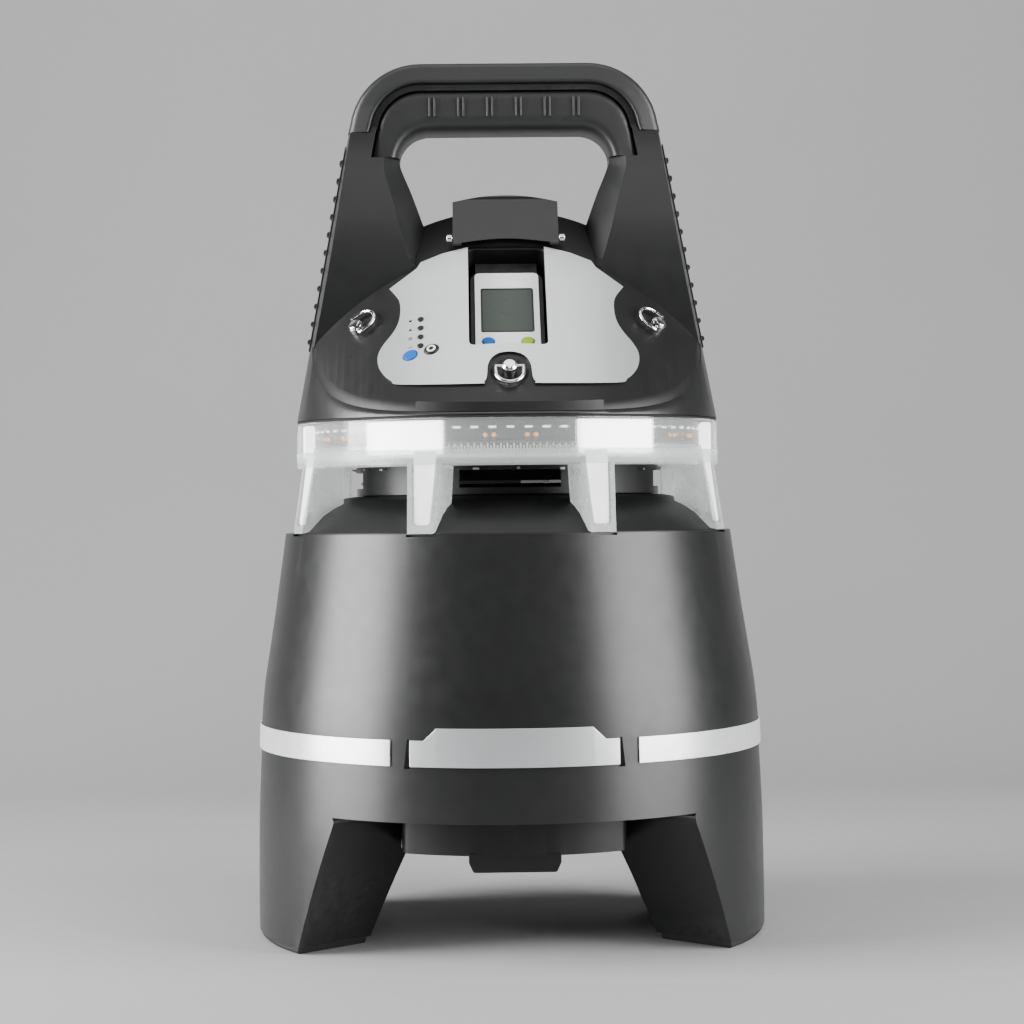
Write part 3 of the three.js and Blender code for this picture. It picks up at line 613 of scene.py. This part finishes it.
def build_light_ring():
    wall, split, seam = 3, RING_LOW + 9, RING_LOW + 12
    upper = [(RING_R, split + 0.15), (RING_R, seam), (RING_R - 0.6, seam + 0.6), (RING_R - 0.6, seam + 1.6),
             (RING_R, seam + 2.2), (RING_R - 0.5, RING_HIGH), (RING_R - wall, RING_HIGH),
             (RING_R - wall, split + 0.15)]
    lower = [(104, RING_LOW), (RING_R - 1, RING_LOW), (RING_R, RING_LOW + 1), (RING_R, split),
             (RING_R - wall, split), (RING_R - wall, RING_LOW + wall), (104, RING_LOW + wall)]
    finish_piece(soften(lathe("ring", upper, 240), 0.4, 2), "clear_light_ring", "clear_lens",
                 replaces=["light_ring"])
    band = lathe("band", lower, 240)
    join(band, *[place(pillar_shape(), pillar_turn(k)) for k in range(PILLARS)])
    finish_piece(soften(band, 0.6, 3), "frosted_pillars", "clear_lens", replaces=["light_ring"],
                 look="frosted_lens")
    glows = merge("glows", [place(pillar_glow(), pillar_turn(k)) for k in range(PILLARS)])
    finish_piece(soften(glows, 0.3, 2), "pillar_faces", "clear_lens", look="pillar_glow")
    low, high, r = RING_HIGH + GAP, RING_HIGH + 1.3, RING_R - 0.8
    gasket = lathe("gasket", [(119, low), (r, low), (r + 0.4, 300.9), (r, high), (119, high)], 160)
    finish_piece(smooth(gasket), "ring_seal", "rubber", replaces=["ring_gasket"])


def build_lamps():
    board = lathe("board", [(112.6, 280.6), (114.2, 280.6), (114.2, 299.4), (112.6, 299.4)], 160)
    finish_piece(soften(board, 0.2, 1), "lamp_board", "circuit_board", replaces=["led_board"])
    section = rounded([(115.5, 280.3), (121, 280.3), (121, 299), (115.5, 299)], 1.2, 4)
    for k in range(6):
        middle = math.radians(30 + 60 * k)
        angles = [middle + math.radians(11.3) * (s / 8 - 1) for s in range(17)]
        rings = [[(r * math.sin(a), -r * math.cos(a), z) for r, z in section] for a in angles]
        finish_piece(smooth(loft("guide", rings), 50), f"lamp_diffuser_{k + 1}", "diffuser",
                     replaces=[f"light_guide_{k + 1}"])
    chips = [place(block("smd", -2.1, 2.1, -115.2, -114.2, 294.4, 295.6), about_z(5 * k))
             for k in range(72)]
    finish_piece(soften(merge("chips", chips), 0.2, 1), "lamp_chips", "diffuser", look="smd_white")
    ambers = []
    on_board = Matrix.Translation((0, -114.2, 290.6)) @ Matrix.Rotation(math.pi / 2, 4, "X")
    for k in range(6):
        for offset in (-7, -4.6, 4.6, 7):
            drop = lathe("drop", [(0, 0), (1.3, 0), (1.3, 0.8), (0.7, 1.3), (0, 1.4)], 12)
            ambers.append(place(place(drop, on_board), about_z(60 * k + offset)))
    finish_piece(smooth(merge("ambers", ambers)), "amber_parts", "diffuser", look="amber")
    comb = []
    for k in range(400):
        tooth = block("tooth", -0.45, 0.45, -116.4, -113.2, 279.4, 285.8 if k % 2 else 284.8)
        comb.append(place(tooth, about_z(0.9 * k)))
    comb.append(lathe("rail", [(113, 278.4), (116.8, 278.4), (116.8, 280.2), (113, 280.2)], 160))
    finish_piece(soften(merge("comb", comb), 0.15, 1), "lens_comb", "clear_lens", look="comb_plastic")


def build_horn():
    cup = [(0, 259.1), (60, 259.1), (DRUM_R, 257.7), (DRUM_R, DRUM_TOP), (87, DRUM_TOP), (87, 262.2),
           (0, 262.2)]
    drum = lathe("horn", rounded(cup, [0, 0, 0.6, 0.6, 0.6, 2, 0]), 160)
    mouths, vanes, edges, clips = [], [], [], []
    for k in range(4):
        turn = Matrix.Rotation(math.pi / 2 * k, 4, "Z")
        sleeve = block("tool", -MOUTH_HALF - 2, MOUTH_HALF + 2, -95, -60, MOUTH_LOW - 2, MOUTH_HIGH + 2)
        join(drum, place(keep(sleeve, disc(89.6, 255, 280, 160)), turn))
        mouths.append(place(block("tool", -MOUTH_HALF, MOUTH_HALF, -96, -62, MOUTH_LOW, MOUTH_HIGH), turn))
        vanes.append(place(block("vane", -MOUTH_HALF, MOUTH_HALF, -85, -66, 263.8, 265.8), turn))
        # a steel strip along part of each vane's front edge: the edge is real, its brightness is a painted
        # highlight that stands in for the reflection on the mouth's lower lip
        edges.append(place(block("edge", 6, MOUTH_HALF, -86, -85, 264, 265.6), turn))
    cut(drum, *mouths)
    finish_piece(soften(drum, 0.8), "horn_drum", "dark_plastic", replaces=["horn_housing"])
    finish_piece(soften(merge("vanes", vanes), 0.3, 2), "horn_vanes", "dark_plastic")
    # the vane edge strips in bright steel: a painted highlight on a real edge
    finish_piece(soften(merge("edges", edges), 0.3, 2), "horn_vane_edge_highlight", "steel")
    for k in range(20):
        turn = about_z(18 * k + 9 * RANDOM.random())
        half = 0.6 + 1.6 * RANDOM.random()
        low = 271 + 1.4 * RANDOM.random()
        clips.append(place(block("clip", -half, half, -92.5, -89, low, low + 1.3), turn))
    finish_piece(soften(merge("clips", clips), 0.25, 2), "horn_rim_clips", "steel")


# ---- top housing ----
STUDS = (("front", 0, 21.5, 180), ("right", 86.1, slope_at(86.1, 353.8), 66),
         ("left", -86.1, slope_at(-86.1, 353.8), -66))


def slot_cutter():
    x, low, high = HALF_SLOT + 1.8, SLOT_LOW - 1.8, SLOT_HIGH + 1.8
    return panel_block(-x, x, low, high, -60, 20, 4)


def ears():
    y, z = HINGE.y, HINGE.z
    outline = rounded([(y - 5, 414), (y + 5, 414), (y + 5, z + 4.5), (y - 5, z + 4.5)], [0, 0, 4.4, 4.4])
    return [slab_x("tool", outline, EAR_INNER, EAR_OUTER), slab_x("tool", outline, -EAR_OUTER, -EAR_INNER)]


def build_top_housing():
    top = roof(COLLAR_LOW, -BEZEL - GAP, 0, 0)
    cut(top, roof(COLLAR_LOW - 1, -BEZEL - GAP - 3, -3, -3))
    for ear in ears():
        join(top, keep(ear, block("tool", -40, 40, -40, 40, 418, 460)))
    cut(top, slot_cutter())
    for side in (-1, 1):
        # the two finger slots under the bezel's lower lip
        cut(top, block("tool", *sorted((side * 14, side * 42)), -130, -112, 307.6, 311.2))
    finish_piece(soften(top, 1.2), "top_moulding", "shell_plastic", replaces=["top_housing"])


def build_bezel():
    skin = cut(panel_cylinder(PANEL_R), panel_cylinder(PANEL_R - BEZEL))
    keep(skin, cone(300, 440, -0.5), hump_cylinder(0))
    ridge = slab_y("tool", [(-58, 380), (58, 380), (45.5, 430), (-45.5, 430)], -60, -1)
    keep(skin, join(block("tool", -130, 130, -140, -ARM_DEPTH - 0.6, 290, 440), ridge))
    keep(skin, join(panel_cylinder(PANEL_R - 0.5, False), block("tool", -130, 130, -141, -35, 290, 441)))
    bowl = lathe("tool", [(0, -2), (6, -1.9), (9, -1.4), (11.6, 0.2), (12.6, 2), (0, 2)], 48)
    front_stud_v = STUDS[0][2]
    cut(skin, slot_cutter(), place(bowl, on_panel(0, front_stud_v - 1.5)))
    finish_piece(soften(skin, 1.1), "front_bezel", "dark_plastic", replaces=["bezel"], look="bezel_plastic")


FACE_HALF = [(HALF_SLOT + 0.6, 402.5), (37.1, 399), (49.8, 394), (52.3, 390), (68.1, 378), (62.6, 371),
             (61.4, 364.5), (62.3, 357), (65.5, 350.5), (71.5, 342.5), (74, 336.5), (73.2, 330), (70, 325),
             (66, 321.8), (60, 319.4), (18, 319), (14.4, 320), (12.7, 323), (12, 329.7), (9.6, 334.2),
             (5.4, 336.8), (0, 337.6)]
KEYS = (("power_key", -43.1, 338.8, "dark_plastic"), ("info_key", -55, 335.6, "blue_key"))
LED_X, LED_Z = -49.3, (357, 351.7, 346.3, 341)


def face_outline():
    """The plate's edge: straight at the top, a wave down each side, and a notch for the front stud."""
    half = FACE_HALF[:4] + spline(FACE_HALF[4:], 4)
    return half + [(-x, z) for x, z in reversed(half[:-1])]


def build_face_plate():
    plate = cut(panel_cylinder(PANEL_R + GAP + PLATE_T), panel_cylinder(PANEL_R + GAP - 0.05))
    keep(plate, slab_y("tool", face_outline(), -140, -20))
    cut(plate, panel_block(-HALF_SLOT, HALF_SLOT, SLOT_LOW, SLOT_HIGH + 40, -30, 20, 4))
    for _, x, z, _ in KEYS:
        cut(plate, place(disc(4.5, -5, 5), on_panel(x, slope_at(x, z))))
    finish_piece(soften(plate, 0.3, 2), "control_plate", "silver_plate", replaces=["face_plate"])


def build_panel_parts():
    for name, x, z, slot in KEYS:
        crown = spline([(4.1, 1.3), (3.9, 1.75), (3.2, 2.0), (0, 2.1)], 4)
        key = place(lathe("key", [(0, -2), (4.1, -2)] + crown, 48), on_panel(x, slope_at(x, z)))
        finish_piece(smooth(key), f"{name}_cap", slot, body=name, replaces=[name])
    x, z = KEYS[0][1:3]
    mark = lathe("mark", [(1.5, 1.95), (2.6, 1.95), (2.6, 2.25), (1.5, 2.25)], 40)
    place(mark, on_panel(x, slope_at(x, z)))
    finish_piece(smooth(mark), "power_key_mark", "white_plastic", body="power_key")
    for k, z in enumerate(LED_Z):
        crown = spline([(1.9, 1.7), (1.6, 2.0), (0.9, 2.2), (0, 2.25)], 3)
        lamp = lathe("lamp", [(0, 1.32), (1.9, 1.32)] + crown, 24)
        lamp = place(lamp, on_panel(LED_X, slope_at(LED_X, z)))
        finish_piece(smooth(lamp), f"status_lens_{k + 1}", "dark_lens", replaces=[f"status_led_{k + 1}"],
                     look="dark_plastic")
    # small printed signs beside the lamps: a dot, a triangle, a ring and a slanting bar
    signs = [disc(0.9, 1.25, 1.42, 16, "sign"),
             slab_z("sign", [(-1.1, -0.9), (1.1, -0.9), (0, 1.1)], 1.25, 1.42),
             lathe("sign", [(0.7, 1.25), (1.15, 1.25), (1.15, 1.42), (0.7, 1.42)], 20),
             slab_z("sign", [(-1.2, -0.4), (1.2, 0.2), (1.2, 0.6), (-1.2, 0)], 1.25, 1.42)]
    marks = [place(sign, on_panel(-55.1, slope_at(-55.1, z - 0.8))) for sign, z in zip(signs, LED_Z)]
    finish_piece(smooth(merge("marks", marks)), "panel_signs", "dark_plastic")


def key_hole(x):
    return place(disc(3.8, -12, 0), PANEL_FLAT @ Matrix.Translation((x, DETECTOR_KEY_V, 0)))


def build_detector():
    x, low, high = HALF_SLOT, SLOT_LOW, SLOT_HIGH
    cradle = panel_block(-x - 1.5, x + 1.5, low - 1.5, high + 1.5, -35, -2.2, 5)
    cut(cradle, panel_block(-x, x, low, high, -33, 5, 4))
    finish_piece(soften(cradle, 0.5), "docking_well", "dark_plastic", replaces=["cradle"])
    body = panel_block(-DETECTOR_HALF, DETECTOR_HALF, DETECTOR_LOW, DETECTOR_HIGH, -31, -9.3, 6)
    cut(body, key_hole(-DETECTOR_KEY_X), key_hole(DETECTOR_KEY_X))
    finish_piece(soften(body, 1.6), "detector_case", "rubber", "detector", ["detector_body"])
    face = panel_block(-18.5, 18.5, DETECTOR_LOW + 1.4, DETECTOR_HIGH - 1, -9.2, -7.9, 3.2)
    cut(face, panel_block(-15.3, 15.3, 62.4, 101, -8.5, -5, 1.6))
    cut(face, key_hole(-DETECTOR_KEY_X), key_hole(DETECTOR_KEY_X))
    finish_piece(soften(face, 0.35, 2), "detector_front", "white_plastic", "detector", ["detector_face"])
    rim = panel_block(-15.1, 15.1, 62.6, 100.8, -8.7, -7.75, 1.4)
    cut(rim, panel_block(-14.2, 14.2, 63.5, 99.9, -9, -5, 1))
    finish_piece(soften(rim, 0.2, 2), "display_frame", "dark_plastic", "detector")
    window = panel_block(-14.3, 14.3, 63.4, 100, -8.7, -8.05, 1)
    finish_piece(soften(window, 0.2, 2), "display_window", "dark_lens", "detector", ["detector_window"])
    crown = spline([(3.5, -7.9), (3.2, -7.45), (2.4, -7.3), (0, -7.2)], 4)
    for name, x, slot in (("detector_key_left", -DETECTOR_KEY_X, "blue_key"),
                          ("detector_key_right", DETECTOR_KEY_X, "green_key")):
        key = lathe("key", [(0, -10.8), (3.5, -10.8)] + crown, 40)
        place(key, PANEL_FLAT @ Matrix.Translation((x, DETECTOR_KEY_V, 0)))
        finish_piece(smooth(key), f"{name}_cap", slot, name, [name])


def build_latch():
    side = [(-30.4, 404.4), (-28.7, 403.4), (-24, 408.6), (-5.4, 427), (5, 427.6), (8.6, 425.6), (17, 426),
            (17, 429.4), (15, 432.4), (8, 434.8), (-9, 435.4), (-14, 433.2)]
    flap = slab_x("flap", rounded(side, [0.6, 0.6, 2, 3, 2, 1, 1, 1, 2, 3, 6, 9]), -31, 31)
    crest = [(31 - 62 * k / 16, 430.6 + 4.6 * math.sin(math.pi * k / 16)) for k in range(1, 16)]
    keep(flap, slab_y("tool", [(31, 395), (31, 430.6)] + crest + [(-31, 430.6), (-31, 395)], -40, 40))
    sag = [(-26 + 52 * k / 16, 405.2 + 2.4 * math.sin(math.pi * k / 16)) for k in range(17)]
    cut(flap, slab_y("tool", sag + [(26, 400), (-26, 400)], -40, -20))
    for s in (-1, 1):
        cut(flap, block("tool", *sorted((s * 23.9, s * 40)), 2, 30, 400, 440))
    bore = [(HINGE.y + y, HINGE.z + z) for y, z in ring_points(2, 24)]
    cut(flap, slab_x("tool", bore, -50, 50))
    finish_piece(soften(flap, 1.1), "latch_cover", "shell_plastic", "latch_flap", ["latch_flap"])
    for name, side_x in (("right", 33), ("left", -33)):
        pin = disc(2.3, -1.7, 1.7, 24)
        place(pin, Matrix.Translation((side_x, -26.4, 408)) @ Matrix.Rotation(math.pi / 2, 4, "Y"))
        finish_piece(soften(pin, 0.5), f"{name}_catch", "chrome", replaces=[f"catch_pin_{name}"])


def wire_ring(points, radius, sides=10):
    """A closed round wire through flat points, given in the XY plane."""
    count = len(points)
    rings = []
    for i, (x, y) in enumerate(points):
        ahead, behind = points[(i + 1) % count], points[i - 1]
        run = Vector((ahead[0] - behind[0], ahead[1] - behind[1], 0)).normalized()
        outward = Vector((run.y, -run.x, 0))
        rings.append([Vector((x, y, 0)) + outward * radius * math.cos(2 * math.pi * k / sides)
                      + Vector((0, 0, radius * math.sin(2 * math.pi * k / sides))) for k in range(sides)])
    return loft("wire", rings, close=True)


def build_studs():
    crown = rounded([(4.3, 0.4), (4.4, 3.6), (3.2, 5.2), (0, 5.4)], [0, 0.8, 0.8, 0])
    bail_r, foot = 7.7, 2.5
    bar = [(-bail_r + 2 * bail_r * k / 6, 0) for k in range(7)]
    arc = [(bail_r * math.cos(a), 5 + bail_r * math.sin(a)) for a in (math.pi * k / 18 for k in range(19))]
    for name, x, v, heading in STUDS:
        matrix = on_panel(x, v) @ about_z(heading)
        stud = lathe("stud", [(0, -14), (3, -14), (3, 0.3), (4.3, 0.3)] + crown[1:], 32)
        cut(stud, block("tool", -6, 6, -1.3, 1.3, 1.6, 4.3), block("tool", -0.6, 0.6, -5, 5, 4.7, 6))
        finish_piece(place(soften(stud, 0.25, 2), matrix), f"{name}_fastener", "chrome", f"{name}_stud",
                     [f"{name}_stud"])
        wire = wire_ring(bar + [(bail_r, foot)] + arc + [(-bail_r, foot)], 1.1)
        place(wire, matrix @ Matrix.Translation((0, 0, 2.95)))
        finish_piece(smooth(wire, 60), f"{name}_ring_pull", "chrome", f"{name}_bail", [f"{name}_bail"])


# ---- handle ----
def outer_line(inset, floor):
    """Right half of the handle's outline at an inset, from a height up to the middle of the top."""
    straight_to = 473
    r, x = HANDLE_CORNER - inset, cone_r(476) - inset
    line = [(cone_r(floor) - inset, floor), (cone_r(straight_to) - inset, straight_to)]
    line += [(x - r + r * math.cos(a), HANDLE_TOP - HANDLE_CORNER + r * math.sin(a))
             for a in (math.pi / 2 * k / 12 for k in range(1, 13))]
    return line + [(0, HANDLE_TOP - inset)]


OPENING = [(41, 398), (47.8, 416), (55, 436), (61, 450.5), (62, 456), (60.6, 461.5), (57, 466.5), (52, 470),
           (46, 471.7)]


def resample(line, count):
    """Evenly spaced points along an open 2-D line."""
    pts = [Vector(p) for p in line]
    lengths = [(b - a).length for a, b in zip(pts, pts[1:])]
    total = sum(lengths)
    out, i, done = [], 0, 0.0
    for k in range(count + 1):
        goal = total * k / count
        while i < len(lengths) - 1 and done + lengths[i] < goal:
            done += lengths[i]
            i += 1
        out.append(pts[i].lerp(pts[i + 1], (goal - done) / lengths[i]))
    return out


def swept_bar(name, inner, outer, depth, powers, sides=48, count=44):
    """A mirrored bar between two lines in the XZ plane; powers square off its inner and outer edge."""
    a_line, b_line = resample(inner, count), resample(outer, count)
    pairs = list(zip(a_line, b_line))
    pairs += [(Vector((-a.x, a.y)), Vector((-b.x, b.y))) for a, b in reversed(pairs[:-1])]
    rings = []
    for a, b in pairs:
        middle, reach = (a + b) / 2, (b - a) / 2
        ring = []
        for k in range(sides):
            t = 2 * math.pi * (k + 0.5) / sides
            c, s = math.cos(t), math.sin(t)
            power = powers[c > 0]
            u = math.copysign(abs(c) ** (2 / power), c)
            w = math.copysign(abs(s) ** (2 / power), s)
            ring.append((middle.x + reach.x * u, depth(u) * w, middle.y + reach.y * u))
        rings.append(ring)
    return loft(name, rings)


def grip_inner_line():
    """The upper edge of the hand opening, from the end of the grip to the middle of the top."""
    upper = [p for p in spline(OPENING, 4) if p[1] > GRIP_END]
    return [(61.9, GRIP_END)] + upper + [(0, OPENING[-1][1])]


def build_grip():
    grip_outer = outer_line(CAP_DEPTH + WEB, GRIP_END)
    grip = swept_bar("grip", grip_inner_line(), grip_outer, lambda u: 18.6 - 1.2 * u, (3.2, 8))
    ribs = []
    for k in range(6):
        for offset in (-1.5, 1.5):
            x = -42.5 + 17 * k + offset
            for side in (-1, 1):
                rib = block("rib", x - 0.55, x + 0.55, *sorted((side * 16.6, side * 19.7)), 480.5, 492)
                ribs.append(soften(rib, 0.4, 3))
    finish_piece(smooth(grip, 50), "hand_grip", "soft_grip", replaces=["handle_grip"])
    finish_piece(smooth(merge("ribs", ribs)), "grip_ribs", "soft_grip")
    cap = swept_bar("cap", outer_line(CAP_DEPTH, CAP_END), outer_line(0, CAP_END), lambda u: 18.9 - 1.6 * u,
                    (9, 5))
    finish_piece(smooth(cap, 50), "handle_strap", "soft_grip", replaces=["handle_cap"])


def hand_opening():
    """Cutter for the opening, which flares towards the front and the rear."""
    half = spline(OPENING, 4)
    outline = half + [(-x, z) for x, z in reversed(half)]
    count, middle = len(outline), Vector((0, 436))

    def widened(amount):
        out = []
        for i, p in enumerate(outline):
            run = Vector(outline[(i + 1) % count]) - Vector(outline[i - 1])
            normal = Vector((run.y, -run.x)).normalized()
            if normal.dot(Vector(p) - middle) < 0:
                normal.negate()
            out.append(Vector(p) + normal * amount)
        return out

    steps = ((-34, 19), (-30, 16), (-8, 0), (8, 0), (30, 16), (34, 19))
    return loft("tool", [[(p.x, y, p.y) for p in widened(amount)] for y, amount in steps])


def build_handle_arms():
    arms = slab_y("frame", mirrored(outer_line(0, 340)), -ARM_DEPTH, ARM_DEPTH)
    cut(arms, hand_opening())
    flank = spline([(30, 372), (29.6, 390), (27.2, 415), (21.6, 450), (19, 470), (18.2, 490), (18, 505)], 5)
    side = [(30, 330)] + flank + [(14, HANDLE_TOP)]
    keep(arms, slab_x("tool", side + [(-y, z) for y, z in reversed(side)], -160, 160), cone(320, 520, 0))

    def above(z):
        return block("tool", -170, 170, -70, 70, z, 560)

    strap_floor = [(-170, CAP_END - GAP), (170, CAP_END - GAP), (170, 560), (-170, 560)]
    below_strap = slab_y("tool", mirrored(outer_line(CAP_DEPTH + GAP, 400)), -61, 61)
    strap_zone = cut(slab_y("tool", strap_floor, -60, 60), below_strap)
    below_web = slab_y("tool", mirrored(outer_line(CAP_DEPTH + WEB - GAP, 400)), -60, 60)
    cut(arms, strap_zone, keep(below_web, above(GRIP_END - GAP)))
    for y in (-1, 1):
        # the web between strap and grip lies deeper than both
        web = slab_y("tool", mirrored(outer_line(-4, CAP_END + 3)), *sorted((y * 17.2, y * 60)))
        cut(arms, keep(web, above(CAP_END + 3)))
    cut(arms, roof(COLLAR_LOW, -BEZEL, GAP, 1), cone(300, 345, 1))
    ridge = slab_y("tool", [(-58.3, 380), (58.3, 380), (45.8, 430), (-45.8, 430)], -60, -0.7)
    cut(arms, keep(roof(COLLAR_LOW, GAP, GAP, 1), ridge))
    finish_piece(soften(arms, 1.6), "handle_arms", "shell_plastic", replaces=["handle_frame"])


def build_rib_strips():
    def strip_arc(side, radius, z, half_angle):
        angles = [math.radians(half_angle) * (s / 8 - 1) for s in range(17)]
        return [(side * radius * math.cos(a), radius * math.sin(a), z) for a in angles]

    for name, side in (("right", 1), ("left", -1)):
        parts = []
        for k in range(RIBS):
            low = RIB_FOOT + k * RIB_PITCH
            r, r_top = cone_r(low), cone_r(low + 2.6)
            section = rounded([(r + 0.5, low), (r + 2.4, low + 0.5), (r_top + 2.4, low + 2.2),
                               (r_top + 0.5, low + 2.8)], [0, 0.6, 0.6, 0], 3)
            columns = [strip_arc(side, radius, z, 6.6) for radius, z in section]
            parts.append(soften(loft("rib", list(zip(*columns))), 0.3, 2))
        rings = []
        for z in (RIB_FOOT - 4, RIB_FOOT + RIBS * RIB_PITCH):
            outer, inner = (strip_arc(side, cone_r(z) + grow, z, 6.8) for grow in (0.9, GAP))
            rings.append(outer + inner[::-1])
        parts.append(soften(loft("strip", rings), 0.25, 2))
        finish_piece(merge("ribs", parts), f"{name}_arm_ribs", "rubber", replaces=[f"{name}_rib_strip"])


# ---- rear socket and small fixings ----
def build_socket():
    to_y = Matrix.Translation((0, 0, SOCKET_Z)) @ Matrix.Rotation(-math.pi / 2, 4, "X")
    lip = rounded([(15, 145), (15, 146), (14, 146)], 0.5)
    flange = lathe("flange", [(0, 132), (15, 132)] + lip + [(8.5, 146), (8.5, 138), (0, 138)], 64)
    place(flange, to_y)
    join(flange, block("tool", -6, 6, 140.6, 146, SOCKET_Z + 12, SOCKET_Z + 19))
    finish_piece(soften(flange, 0.5), "socket_housing", "dark_plastic", replaces=["socket_flange"])
    face = [(0, 146.5), (13, 146.5), (13, 149.5), (9, 149.5), (8.4, 149.1), (7.8, 149.5), (0, 149.5)]
    cover = place(lathe("cover", face, 64), to_y)
    join(cover, block("tool", -5, 5, 146.5, 149.5, SOCKET_Z + 10, SOCKET_Z + 18))
    finish_piece(soften(cover, 0.6), "socket_cap", "rubber", "socket_cover", ["socket_cover"])


def build_small_parts():
    cad_looks = {"battery_pack": "battery_case", "chassis_plate": "dark_plastic", "latch_pin": "steel",
                 "cable_duct": "dark_plastic", "main_board": "circuit_board", "contact_block": "rubber",
                 "horn_driver": "steel"}
    for node, look in cad_looks.items():
        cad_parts[node].data.materials.clear()
        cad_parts[node].data.materials.append(M[look])
    profile = [(0, 81.2), (3.6, 81.2), (4.7, 82.2), (4.7, 84), (2.5, 84), (2.5, 98), (0, 99)]
    for k in range(1, 5):
        low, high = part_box(f"tray_screw_{k}")
        x, y = (low.x + high.x) / 2 / MM, (low.y + high.y) / 2 / MM
        screw = cut(lathe("screw", profile, 32), slab_z("tool", ring_points(2, 6), 79, 82.8))
        place(screw, Matrix.Translation((x, y, 0)))
        finish_piece(soften(screw, 0.3, 2), f"tray_screw_{k}_head", "steel", replaces=[f"tray_screw_{k}"])


build_base_shell()
build_foot_pads()
build_tray()
build_bands()
build_dome()
build_light_ring()
build_lamps()
build_horn()
build_top_housing()
build_bezel()
build_face_plate()
build_panel_parts()
build_detector()
build_latch()
build_studs()
build_grip()
build_handle_arms()
build_rib_strips()
build_socket()
build_small_parts()


# ---- studio ----
def build_studio():
    reach, back, bend = 3.2, 1.6, 0.9
    profile = [(-2.6, 0.0), (back - bend, 0.0)]
    profile += [(back - bend + bend * math.sin(a), bend - bend * math.cos(a))
                for a in (math.pi / 2 * k / 16 for k in range(1, 17))] + [(back, 3.4)]
    verts = [Vector((x, y, z)) / MM for y, z in profile for x in (-reach, reach)]
    faces = [(2 * k, 2 * k + 1, 2 * k + 3, 2 * k + 2) for k in range(len(profile) - 1)]
    floor = make("studio_floor", verts, faces)
    floor.data.shade_smooth()
    paper = material("studio paper", (0.33, 0.33, 0.335), 0.8, grain=0.05, grain_size=3, shade=0.02,
                     shade_size=400)
    floor.data.materials.append(paper)


def area_light(name, place_m, target_m, size, power):
    data = bpy.data.lights.new(name, "AREA")
    data.shape = "RECTANGLE"
    data.size, data.size_y = size
    data.energy = power
    lamp = bpy.data.objects.new(name, data)
    lamp.location = place_m
    lamp.rotation_euler = (Vector(target_m) - Vector(place_m)).to_track_quat("-Z", "Y").to_euler()
    bpy.context.scene.collection.objects.link(lamp)


def build_camera():
    yaw, distance, height = math.radians(1.0), 1.480, 0.2556
    pitch, roll = math.radians(0.32), math.radians(0.62)
    data = bpy.data.cameras.new("camera")
    data.lens, data.sensor_width = 87.15, 36
    data.shift_x = (512 - 507.8) / 1024
    camera = bpy.data.objects.new("camera", data)
    place_m = Vector((-distance * math.sin(yaw), -distance * math.cos(yaw), height))
    look = Vector((math.sin(yaw) * math.cos(pitch), math.cos(yaw) * math.cos(pitch), -math.sin(pitch)))
    turn = look.to_track_quat("-Z", "Y").to_matrix().to_4x4()
    camera.matrix_world = Matrix.Translation(place_m) @ turn @ Matrix.Rotation(-roll, 4, "Z")
    bpy.context.scene.collection.objects.link(camera)
    bpy.context.scene.camera = camera


def build_lights():
    middle = (0, 0, 0.26)
    area_light("left softbox", (-1.3, -0.3, 0.5), middle, (0.9, 1.5), 84)
    area_light("right softbox", (1.25, -0.62, 0.5), middle, (1.0, 1.5), 58)
    area_light("top softbox", (0, -0.2, 1.7), middle, (1.4, 1.0), 10)
    area_light("front fill", (0.2, -2.2, 1.9), middle, (1.4, 0.8), 11)
    area_light("backdrop light", (0, 0.6, 1.6), (0, 1.6, 0.2), (2.4, 0.5), 2)
    world = bpy.data.worlds.new("studio")
    world.use_nodes = True
    world.node_tree.nodes["Background"].inputs["Color"].default_value = (0.75, 0.76, 0.78, 1)
    world.node_tree.nodes["Background"].inputs["Strength"].default_value = 0.09
    bpy.context.scene.world = world


build_studio()
build_camera()
build_lights()
